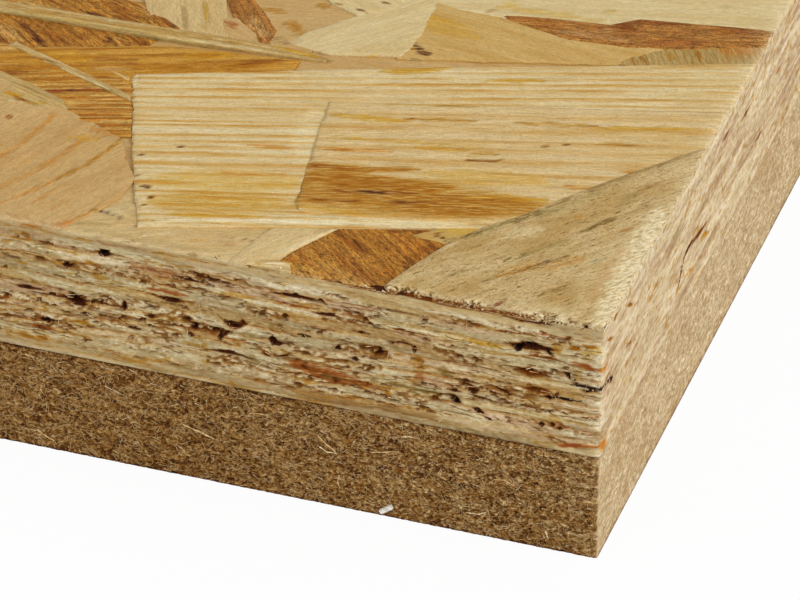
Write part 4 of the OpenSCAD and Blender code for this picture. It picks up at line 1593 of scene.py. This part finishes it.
    Strand("slanting_brown_strand", ((-58.4, 51), (-52.8, 41.4), (-49.4, 41.4), (-50.2, 45.4), (-55.6, 51.5)),
           ROSE_BROWN, -52, -0.15, spin=17, ragged=0.3, step=0.45, streaks=(
        (-57.8, 49.2, -55.8, 47.4, 0.3, U, 0.6), (-55.8, 46.6, -53.2, 43.6, 0.2, D, 0.6),
        (-54, 47, -51, 43.6, 0.9, T, 0.55), (-55.4, 45, -54.9, 44.8, 0.55, R, 0.9),
    )),
    Strand("tan_fleck", (
        (-57.2, 44.4), (-53.8, 41.3), (-50.4, 41.3), (-52.2, 44.2), (-55.2, 46.6), (-57.6, 46.2),
    ), SMOOTH_TAN, -30, -0.08, spin=19, ragged=0.3, step=0.42, streaks=(
        (-57.4, 45.6, -56.6, 45.3, 0.3, R, 0.8), (-55.9, 44.9, -54.8, 44.7, 0.5, R, 0.75),
    )),
    Strand("upper_tan_strand", ((-53.2, 41.6), (-45.6, 41.6), (-42.4, 56), (-60, 56)),
           SMOOTH_TAN, 14, -0.2, spin=23, streaks=(
        (-49.4, 47.6, -47.2, 44.9, 0.6, N, 0.6), (-54, 49.4, -50.8, 49.2, 0.5, N, 0.5),
        (-48.6, 52.4, -47, 52, 0.5, N, 0.6), (-50, 44, -48.4, 43, 0.4, G, 0.6),
    )),
    Strand("slanting_pale_strand", (
        (-48.6, 42.8), (-43.2, 42.2), (-36, 44.2), (-35.4, 46.4), (-35.5, 58), (-38.5, 58), (-47.4, 45.6),
    ), CREAM_SHEET, 48, -0.05, spin=27, ragged=0.3, streaks=(
        (-40.4, 44.6, -36.5, 44.7, 1, T, 0.5), (-39.6, 41.8, -38.6, 43, 0.8, A, 0.5),
        (-48.2, 43.2, -47.2, 43.4, 0.4, K, 0.5),
    )),
    Strand("far_cream_chip", ((-46.8, 52.8), (-43, 51), (-39.6, 53.8), (-39.4, 58), (-52, 58)),
           CREAM_SHEET, -28, 0.02, spin=29, ragged=0.25, streaks=(
        (-46.4, 52.9, -45.2, 52.3, 0.14, U, 0.6), (-43.8, 52.3, -42.9, 51.8, 0.2, D, 0.7),
        (-42, 51.5, -41.8, 51.2, 0.2, U, 0.8), (-41.6, 54.9, -41.1, 54.5, 0.16, U, 0.8),
    )),
    Strand("tan_orange_strand", ((-39.4, 47.6), (-36.2, 43.8), (-14, 50), (-9, 56), (-29, 58), (-39.4, 58)),
           HONEY, -9, -0.1, spin=33, ragged=0.3, streaks=(
        (-35.7, 47.2, -34.6, 46, 0.3, B, 0.95), (-34.6, 46, -33.7, 45.5, 0.36, D, 0.95),
        (-38.2, 47.9, -36.3, 47.4, 0.13, D, 0.85), (-36.3, 47.4, -35.6, 47.1, 0.16, D, 0.9),
        (-36.4, 44.9, -35.4, 46.4, 0.35, N, 0.7), (-34.4, 44.4, -34, 43.9, 0.25, L, 0.7),
        (-36, 52, -30, 51, 1.6, A, 0.3), (-38, 53.6, -32, 52.8, 0.5, A, 0.5),
    )),
    Strand("slim_brown_strand", (
        (-20.4, 53.6), (-14, 53.8), (-8.2, 55.5), (0.8, 59.2), (0.8, 62.6), (-5, 61.8), (-14.6, 60.3),
        (-16.6, 58.4), (-20.2, 55.4),
    ), ROSE_BROWN, 13, 0, spin=37, ragged=0.25, step=0.45, streaks=(
        (-15.8, 58.6, -14.6, 57.4, 0.9, U, 0.8), (-15, 59.6, -9, 61, 0.6, U, 0.55),
        (-6, 60.6, -0.5, 61.6, 1, U, 0.4), (-29.6, 56.6, -28, 56.4, 0.22, D, 0.85),
        (-27, 56.6, -22, 55.6, 0.6, O, 0.4), (-20.2, 53.8, -18.6, 53.9, 0.2, D, 0.7),
        (-18.6, 53.9, -16.8, 53.4, 0.14, U, 0.8), (-22, 54.6, -14, 55.2, 0.6, K, 0.5),
        (-20, 56.2, -16, 56.6, 0.9, K, 0.35), (-12, 55.6, -6, 57.2, 0.5, R, 0.45),
        (-9.4, 61.2, -7.6, 61.4, 0.25, Y, 0.8), (-14.8, 54.2, -13.6, 54, 0.14, D, 0.7),
    )),
    Strand("slim_brown_tail", ((-31.4, 56.6), (-20.4, 53.5), (-16.2, 53.7), (-15.6, 58.4), (-24, 57.4)),
           ROSE_BROWN, 3, -0.02, spin=37, ragged=0.25, step=0.42, streaks=(
        (-29.6, 56.6, -28, 56.4, 0.22, D, 0.85), (-27, 56.6, -22, 55.6, 0.6, O, 0.4),
        (-22, 54.6, -17, 55.2, 0.6, K, 0.5),
    )),
    Strand("large_cream_strand", ((-38, 55.6), (-24, 55.4), (1, 58.8), (1, 100), (-60, 100), (-60, 62)),
           CREAM_SHEET, 14, -0.08, spin=43, ragged=0.3, step=0.7, streaks=(
        (-30.4, 57.4, -29.8, 56.8, 0.35, U, 0.7), (-28.4, 59.6, -28.6, 57.8, 0.7, Y, 0.4),
        (-18.4, 60.8, -17.6, 60.6, 0.25, Y, 0.6), (-6.4, 66.6, -5.6, 66.4, 0.25, G, 0.6),
        (-30, 58.2, -18, 58.4, 0.5, A, 0.3),
    )),
    Strand("ribbed_fleck", ((-17.8, 49.4), (0.6, 53.4), (0.6, 60), (-17.4, 54.6)),
           PALE_SLIVER, -62, -0.14, spin=47, ragged=0.2, step=0.42, streaks=(
        (-12.6, 54, -10.6, 50.8, 0.3, N, 0.5), (-13.2, 52.6, -11.6, 50.6, 0.25, N, 0.4),
        (-9.6, 55, -8, 52.6, 0.16, D, 0.6), (-9.2, 54.4, -8.6, 53.2, 0.3, A, 0.7),
        (-6.8, 56, -5.6, 53.6, 0.4, N, 0.6), (-4, 56.8, -0.4, 58.4, 1.6, O, 0.6),
        (-3.8, 56.4, -2.6, 53.6, 0.3, O, 0.5), (-17, 51, 0, 56, 4, S, 0.25),
    )),
    Strand("cream_underlay", ((-62, -1), (-20, -1), (-20, 13), (-62, 13)),
           TAN_SHEET, 16, -0.36, spin=51, ragged=0.2, step=1.4),
    Strand("tan_underlay", ((-96, -1), (1, -1), (1, 72), (-96, 72)),
           SMOOTH_TAN, 4, -0.44, spin=57, ragged=0.2, step=2.2),
)


@dataclass
class ScatteredStrands:
    """The plainer strands over the rest of the pressed face, in a few joined pieces.

    Attributes:
        panel: Sizes and place of the panel.
        seed: Start of the random draws.
        count: Number of strands.
        kept_clear: Left and far limits of the corner that has strands of its own.
        long: Least and greatest length of a strand.
        broad: Least and greatest width.
        levels: Lowest and highest face over the board's top.
        bottom: Height above the underside that the strands go down to.
        groups: Name, finish and share of each piece.
        tones: Colours of the faint tints.
    """

    panel: PanelFrame
    seed: int = 12
    count: int = 1150
    kept_clear: Point = (-86.0, 80.0)
    long: Point = (60.0, 125.0)
    broad: Point = (12.0, 34.0)
    levels: Point = (-0.34, 0.02)
    bottom: float = 26.2
    groups: tuple[tuple[str, StrandFinish, float], ...] = (
        ("cream", CREAM_SHEET, 0.18), ("pale", RINGED, 0.26), ("tan", SMOOTH_TAN, 0.18),
        ("honey", HONEY, 0.18), ("amber", AMBER_WOOD, 0.08), ("lined", ORANGE_LINED, 0.06),
        ("brown", BROWN_HEART, 0.06),
    )
    tones: tuple[Tone, ...] = (Tone.CREAM, Tone.TAN, Tone.AMBER, Tone.PINK, Tone.GREY)

    def lay(self, bm: Mesh, rng: np.random.Generator, middle: Point, layers: tuple) -> None:
        """Lay one strand with torn ends.

        Args:
            bm: Mesh that it joins.
            rng: Source of its size and turn.
            middle: Its place on the face.
            layers: The grain and paint layers.
        """
        grain, paint = layers
        length = rng.uniform(*self.long)
        width = rng.uniform(*self.broad)
        turn = rng.normal(0.0, math.radians(24))
        level = rng.uniform(*self.levels)
        tint = rng.uniform(0.0, 0.2)
        tone = self.tones[int(rng.integers(5))].value
        shift = float(rng.uniform(0, 90))
        verts = bmesh.ops.create_grid(bm, x_segments=4, y_segments=6, size=0.5)["verts"]
        for vert in verts:
            u, v = vert.co.x, vert.co.y
            at_end, at_side = abs(u) > 0.49, abs(v) > 0.49
            along = (u + (rng.uniform(-0.05, 0.05) if at_end else 0.0)) * length
            across = v * width * (1 - 0.25 * abs(u)) + (rng.uniform(-0.6, 0.6) if at_side else 0.0)
            vert.co = (
                middle[0] + along * math.cos(turn) - across * math.sin(turn),
                middle[1] + along * math.sin(turn) + across * math.cos(turn),
                self.panel.top + level - (0.1 if at_end or at_side else 0.0),
            )
            vert[grain] = (along + shift, across + shift, shift)
            vert[paint] = (*tone, tint)

    def build(self) -> None:
        """Lay all groups, cut them off at the panel's edges and give them walls."""
        rng = np.random.default_rng(self.seed)
        left, back = self.kept_clear
        margin = max(self.long) / 2
        for name, finish, share in self.groups:
            bm = bmesh.new()
            layers = (bm.verts.layers.float_vector.new("grain"), bm.verts.layers.float_color.new("paint"))
            for _ in range(round(self.count * share)):
                middle = (rng.uniform(-self.panel.length - 20, 20), rng.uniform(-15, self.panel.width + 15))
                if middle[0] <= left - margin * 0.75 or middle[1] >= back + self.broad[1]:
                    self.lay(bm, rng, middle, layers)
            StrandMaker(self.panel).trim_to_panel(bm)
            made = bmesh.ops.extrude_face_region(bm, geom=bm.faces[:], use_keep_orig=True)["geom"]
            for vert in (part for part in made if isinstance(part, bmesh.types.BMVert)):
                vert.co.z = self.bottom
            finish_piece(bm, f"face_strands_{name}", self.panel, finish.material(), smooth=False)


@dataclass
class BoardBody:
    """Hidden inside of one board, between its sawn skins."""

    panel: PanelFrame
    name: str
    low: float
    high: float
    finish: bpy.types.Material
    slot: Slot
    tone: Colour
    inset: float = 2.4

    def build(self) -> bpy.types.Object:
        """Build the inside as a block with eased edges."""
        length, width = self.panel.length, self.panel.width
        bm = bmesh.new()
        stock = bm.verts.layers.float_color.new("stock")
        bmesh.ops.create_cube(bm, size=1.0)
        size = (length - 2 * self.inset, width - 2 * self.inset, self.high - self.low)
        bmesh.ops.scale(bm, vec=size, verts=bm.verts)
        bmesh.ops.translate(bm, vec=(-length / 2, width / 2, (self.low + self.high) / 2), verts=bm.verts)
        edges = bm.edges[:]
        bmesh.ops.bevel(bm, geom=edges, offset=0.05, affect="EDGES", segments=1, profile=0.5, material=-1)
        for vert in bm.verts:
            vert[stock] = (*self.tone, 1.0)
        return finish_piece(bm, self.name, self.panel, self.finish, smooth=False)


@dataclass(frozen=True)
class FibreKind:
    """Colours and sizes of one kind of loose fibre.

    Attributes:
        tones: Colours.
        chances: Share of each colour.
        outward: Spread of the part of its direction that points out of the edge.
        lengths: Least and greatest length, in millimetres.
        radii: Least and greatest radius of the thick end.
    """

    tones: tuple[Colour, ...]
    chances: tuple[float, ...] | None
    outward: float
    lengths: Point
    radii: Point

    def draw(self, rng: np.random.Generator, place: Vector, turn: float) -> tuple:
        """Draw one fibre.

        Args:
            rng: Source of the draws.
            place: Its middle.
            turn: Its slope along the edge.

        Returns:
            Its place, direction, length, radius and colour.
        """
        ahead = Vector((math.cos(turn), rng.normal(0, self.outward), math.sin(turn)))
        tone = self.tones[int(rng.choice(len(self.tones), p=self.chances))]
        return place, ahead, rng.uniform(*self.lengths), rng.uniform(*self.radii), tone


FELTED = FibreKind(
    (shade(204, 170, 114), shade(188, 148, 88), shade(160, 112, 52), shade(222, 198, 152), shade(90, 48, 14)),
    (0.27, 0.27, 0.22, 0.1, 0.14), 0.25, (0.25, 1.1), (0.02, 0.04),
)
# Its darkest colour stands in for the shaded gaps between crumbs: painted shade.
SPLINTER = FibreKind(
    (shade(232, 214, 176), shade(210, 180, 132), shade(156, 112, 62), shade(70, 44, 22)),
    (0.34, 0.34, 0.2, 0.12), 0.5, (0.12, 0.5), (0.05, 0.12),
)
TORN = FibreKind(
    (shade(232, 210, 162), shade(212, 180, 130), shade(186, 140, 88), shade(206, 150, 104)),
    None, 0.18, (0.25, 1.2), (0.02, 0.05),
)

# Points, radius and colour of the long bent fibres of the fibre board's near edge.
STRAW, IVORY = shade(220, 184, 128), shade(232, 210, 164)
LONG_FIBRES = (
    (((-43.6, -0.3, 6.5), (-42.4, -0.45, 6.25), (-41.2, -0.4, 5.85), (-40.4, -0.2, 5.4)), 0.085, STRAW),
    (((-29.0, -0.3, 8.2), (-28.2, -0.45, 7.6), (-27.5, -0.45, 7.2), (-27.2, -0.3, 6.6)), 0.08, STRAW),
    (((-29.0, -0.2, 7.0), (-28.2, -0.4, 6.7), (-27.3, -0.3, 6.7)), 0.08, IVORY),
    (((-27.0, -0.2, 4.0), (-27.1, -0.4, 3.3), (-26.9, -0.3, 2.5)), 0.075, STRAW),
    (((-59.8, -0.2, 2.2), (-58.9, -0.4, 1.8), (-58.0, -0.2, 1.2)), 0.08, STRAW),
    (((-23.4, -0.2, 7.6), (-22.2, -0.35, 8.0), (-20.8, -0.2, 8.3)), 0.06, STRAW),
    (((-13.2, -0.2, 2.6), (-12.2, -0.35, 2.8), (-11.5, -0.2, 3.1)), 0.06, IVORY),
    (((-11.2, -0.2, 6.7), (-10.6, -0.4, 7.4), (-9.6, -0.35, 7.5), (-8.4, -0.2, 6.8)), 0.045, STRAW),
    (((-5.3, -0.2, 2.2), (-5.0, -0.3, 1.5)), 0.09, IVORY),
    (((-52.0, -0.2, 9.2), (-51.0, -0.35, 9.0), (-50.2, -0.2, 8.6)), 0.05, IVORY),
    (((-36.4, -0.2, 9.4), (-35.2, -0.35, 9.7), (-34.4, -0.2, 9.5)), 0.05, STRAW),
    (((-20.4, -0.15, 10.1), (-19.6, -0.3, 10.4), (-18.6, -0.15, 10.3)), 0.05, IVORY),
)


@dataclass
class LooseFibres:
    """Short fibres that stand out of a sawn edge."""

    panel: PanelFrame
    finish: bpy.types.Material
    seed: int = 90

    def fibre(
        self, bm: Mesh, place: Vector, ahead: Vector, length: float, radius: float, tone: Colour,
    ) -> None:
        """Add one tapered three-sided fibre.

        Args:
            bm: Mesh that it joins.
            place: Its middle.
            ahead: Its direction.
            length: Its length in millimetres.
            radius: Radius of its thick end.
            tone: Its colour.
        """
        seat = Matrix.Translation(place) @ ahead.to_track_quat("Z", "Y").to_matrix().to_4x4()
        made = bmesh.ops.create_cone(
            bm, cap_ends=True, segments=3, radius1=radius, radius2=radius * 0.35, depth=length, matrix=seat,
        )
        self.dye(bm, made["verts"], tone)

    def dye(self, bm: Mesh, verts: list[bmesh.types.BMVert], tone: Colour) -> None:
        """Colour some vertices."""
        stock = bm.verts.layers.float_color["stock"]
        for vert in verts:
            vert[stock] = (*tone, 1.0)

    def batch(self, name: str, draws: list[tuple], share: int = 150) -> None:
        """Build one piece from a list of fibres.

        Args:
            name: Name of the piece.
            draws: Place, direction, length, radius and colour of each fibre.
            share: How many are made at a time, which keeps the making quick.
        """
        whole = bmesh.new()
        whole.verts.layers.float_color.new("stock")
        for first in range(0, len(draws), share):
            part = bmesh.new()
            part.verts.layers.float_color.new("stock")
            for draw in draws[first:first + share]:
                self.fibre(part, *draw)
            held = bpy.data.meshes.new("held")
            part.to_mesh(held)
            part.free()
            whole.from_mesh(held)
            bpy.data.meshes.remove(held)
        finish_piece(whole, name, self.panel, self.finish, smooth=False)

    def felt(self, count: int = 4600, reach: float = 70.0) -> None:
        """Fibres on the near edge of the fibre board."""
        rng = np.random.default_rng(self.seed)
        draws = []
        for _ in range(count):
            x, y = rng.uniform(-reach, -0.2), rng.uniform(-0.04, 0.1)
            place = Vector((x, y, rng.uniform(0.25, self.panel.joint - 0.35)))
            draws.append(FELTED.draw(rng, place, rng.normal(0, 0.75)))
        self.batch("fibre_board_loose_fibres", draws)

    def long_ones(self) -> None:
        """The few long pale fibres, as linked straight lengths, and the white chip on the near edge."""
        bm = bmesh.new()
        bm.verts.layers.float_color.new("stock")
        for points, radius, tone in LONG_FIBRES:
            for here, following in zip(points, points[1:]):
                first, last = Vector(here), Vector(following)
                self.fibre(bm, (first + last) / 2, last - first, (last - first).length * 1.15, radius, tone)
        seat = Matrix.Translation((-22.0, -0.22, 1.05)) @ Matrix.Rotation(math.radians(-35), 4, "Y")
        chip = bmesh.ops.create_cube(bm, size=1.0, matrix=seat)["verts"]
        bmesh.ops.scale(bm, vec=(1.45, 0.4, 0.42), space=seat.inverted(), verts=chip)
        self.dye(bm, chip, shade(246, 243, 234))
        finish_piece(bm, "fibre_board_long_fibres", self.panel, self.finish, smooth=False)

    def arris(self, count: int = 420, reach: float = 68.0) -> None:
        """Crumbs and torn splinters along the board's upper near arris."""
        rng = np.random.default_rng(self.seed + 1)
        draws = []
        bunches = rng.uniform(-reach, -1, 46)
        for _ in range(count):
            x = min(-0.6, rng.choice(bunches) + rng.normal(0, 0.5))
            if x < -24 and rng.random() < 0.93:
                continue
            place = Vector((x, rng.uniform(-0.02, 0.24), self.panel.top - rng.uniform(-0.02, 0.42)))
            draws.append(SPLINTER.draw(rng, place, rng.normal(0, 0.7)))
        self.batch("strand_board_arris_splinters", draws)

    def torn_edge(self, count: int = 500, reach: float = 70.0) -> None:
        """Short torn fibres over the near edge of the strand board."""
        rng = np.random.default_rng(self.seed + 2)
        draws = []
        for _ in range(count):
            x, y = rng.uniform(-reach, -0.3), rng.uniform(-0.06, 0.16)
            place = Vector((x, y, rng.uniform(self.panel.joint + 0.3, self.panel.top - 1.2)))
            turn = rng.normal(0, 0.22) if rng.random() < 0.75 else rng.normal(1.3, 0.5)
            draws.append(TORN.draw(rng, place, turn))
        self.batch("strand_board_torn_fibres", draws)


@dataclass
class Studio:
    """Floor, soft light and camera.

    Attributes:
        panel: Sizes and place of the panel.
        azimuth: Turn of the camera to the left, in degrees.
        elevation: How far it looks down.
        lens: Its focal length in millimetres.
        stand_off: Its place from the near right top corner, in millimetres.
        floor_size: Half the side of the floor, in metres.
        sky: Strength of the sky.
        key: Strength, direction and spread of the main lamp.
        fill: The same of the second lamp.
    """

    panel: PanelFrame
    azimuth: float = 19.24
    elevation: float = 32.38
    lens: float = 193.5
    stand_off: Place = (95.27, -332.05, 222.0)
    floor_size: float = 60.0
    sky: float = 0.5
    key: tuple[float, Place, float] = (1.99, (0.846, 0.0, 0.533), 42.0)
    fill: tuple[float, Place, float] = (0.95, (-0.3, -0.75, 0.45), 60.0)

    def camera(self) -> None:
        """Stand the camera off the near right top corner."""
        data = bpy.data.cameras.new("camera")
        data.lens = self.lens
        data.clip_start, data.clip_end = 0.02, 200.0
        seat = bpy.data.objects.new("camera", data)
        corner = self.panel.to_row @ Vector((0.0, 0.0, self.panel.top))
        seat.location = corner + Vector(self.stand_off) * MM
        seat.rotation_euler = (math.radians(90 - self.elevation), 0.0, math.radians(self.azimuth))
        bpy.context.scene.collection.objects.link(seat)
        bpy.context.scene.camera = seat

    def sun(self, name: str, strength: float, towards: Place, spread: float) -> None:
        """Add one broad soft lamp far away."""
        data = bpy.data.lights.new(name, "SUN")
        data.energy = strength
        data.angle = math.radians(spread)
        lamp = bpy.data.objects.new(name, data)
        lamp.rotation_euler = Vector(towards).to_track_quat("Z", "Y").to_euler()
        bpy.context.scene.collection.objects.link(lamp)

    def surroundings(self) -> None:
        """Even sky that shows white behind the object."""
        world = bpy.data.worlds.new("studio")
        world.use_nodes = True
        bpy.context.scene.world = world
        nodes = Nodes(world.node_tree)
        sky, white = (nodes.wire("Background", (1.0, 1.0, 1.0), strength) for strength in (self.sky, 1.0))
        nodes.node("OutputWorld", nodes.shown(sky, white, ("Camera", "Transmission")))

    def floor(self) -> None:
        """Lay the floor under the panel."""
        bm = bmesh.new()
        bmesh.ops.create_grid(bm, x_segments=1, y_segments=1, size=self.floor_size)
        bmesh.ops.translate(bm, vec=self.panel.to_row.translation, verts=bm.verts)
        mesh = bpy.data.meshes.new("floor")
        bm.to_mesh(mesh)
        bm.free()
        mesh.materials.append(FloorFinish().material())
        ground = bpy.data.objects.new("floor", mesh)
        bpy.context.scene.collection.objects.link(ground)

    def build(self) -> None:
        """Set up the whole studio."""
        self.camera()
        self.surroundings()
        self.sun("key", *self.key)
        self.sun("fill", *self.fill)
        self.floor()
        bpy.context.scene.view_settings.view_transform = "Standard"


def sawn_strands() -> bpy.types.Material:
    """Finish of the strand board's sawn edges."""
    # Dark winding lines: painted shade of fine crack lines.
    crack_shade = Thread(4.5, 0.75, 0.028, (0.3, 0.17, 0.08), 0.8, 0.48, "MULTIPLY")
    hairs = Thread(2.4, 0.36, 0.04, (1.24, 1.26, 1.3), 0.6, 0.46, "MULTIPLY")
    finish = SawnFinish("sawn_strands", contrast=0.23, fleck=0.22, threads=(hairs, crack_shade), grit=0.15)
    return finish.material()


def sawn_fibre() -> bpy.types.Material:
    """Finish of the fibre board's sawn edges."""
    dark = shade(70, 34, 8)
    curls = Thread(1.0, 0.7, 0.032, shade(206, 174, 122), 0.55, 0.48)
    short_curls = Thread(0.6, 0.42, 0.045, shade(190, 150, 92), 0.5, 0.45)
    # Dark winding lines: painted shade of the creases between fibres.
    crease_shade = Thread(1.1, 0.5, 0.045, dark, 0.75, 0.42)
    return SawnFinish(
        "sawn_fibre", line_length=0.32, line_height=0.13, contrast=0.56, fleck=0.5, relief=0.09,
        fleck_tone=dark, fleck_size=0.2, threads=(crease_shade, short_curls, curls), grit=0.5,
    ).material()


def main() -> None:
    """Build the panel's pieces in order and report each one."""
    logging.basicConfig(level=logging.INFO, format="%(message)s")
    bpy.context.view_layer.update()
    panel = PanelFrame.from_cad()
    Studio(panel).build()
    sawn, felt = sawn_strands(), sawn_fibre()
    splinter = SawnFinish("torn_fibre", contrast=0.15, fleck=0.1, relief=0.02).material()
    joint, edge_top, foot = panel.joint, panel.top - 0.34, 0.02
    umber, brown = Tone.UMBER.value, shade(160, 116, 66)
    body = BoardBody(panel, "strand_board_inside", joint, panel.top - 0.6, sawn, Slot.STRAND, umber).build()
    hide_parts("strand_board")
    base = BoardBody(panel, "fibre_board_inside", foot, joint - foot, felt, Slot.FIBRE, brown).build()
    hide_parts("wood_fibre_board")
    board, mat = SawnBoard(joint, edge_top), SawnFelt(joint)
    SawnEdges(panel, board, sawn, Slot.STRAND, "strand_board", joint, edge_top).build()
    SawnEdges(
        panel, mat, felt, Slot.FIBRE, "fibre_board", 0.0, joint, near_step=0.15, height_step=0.14,
    ).build()
    maker = StrandMaker(panel)
    for strand in CORNER_STRANDS:
        maker.make(strand)
    ScatteredStrands(panel).build()
    fibres = LooseFibres(panel, splinter)
    fibres.felt()
    fibres.long_ones()
    fibres.arris()
    fibres.torn_edge()


if __name__ == "__main__":
    main()
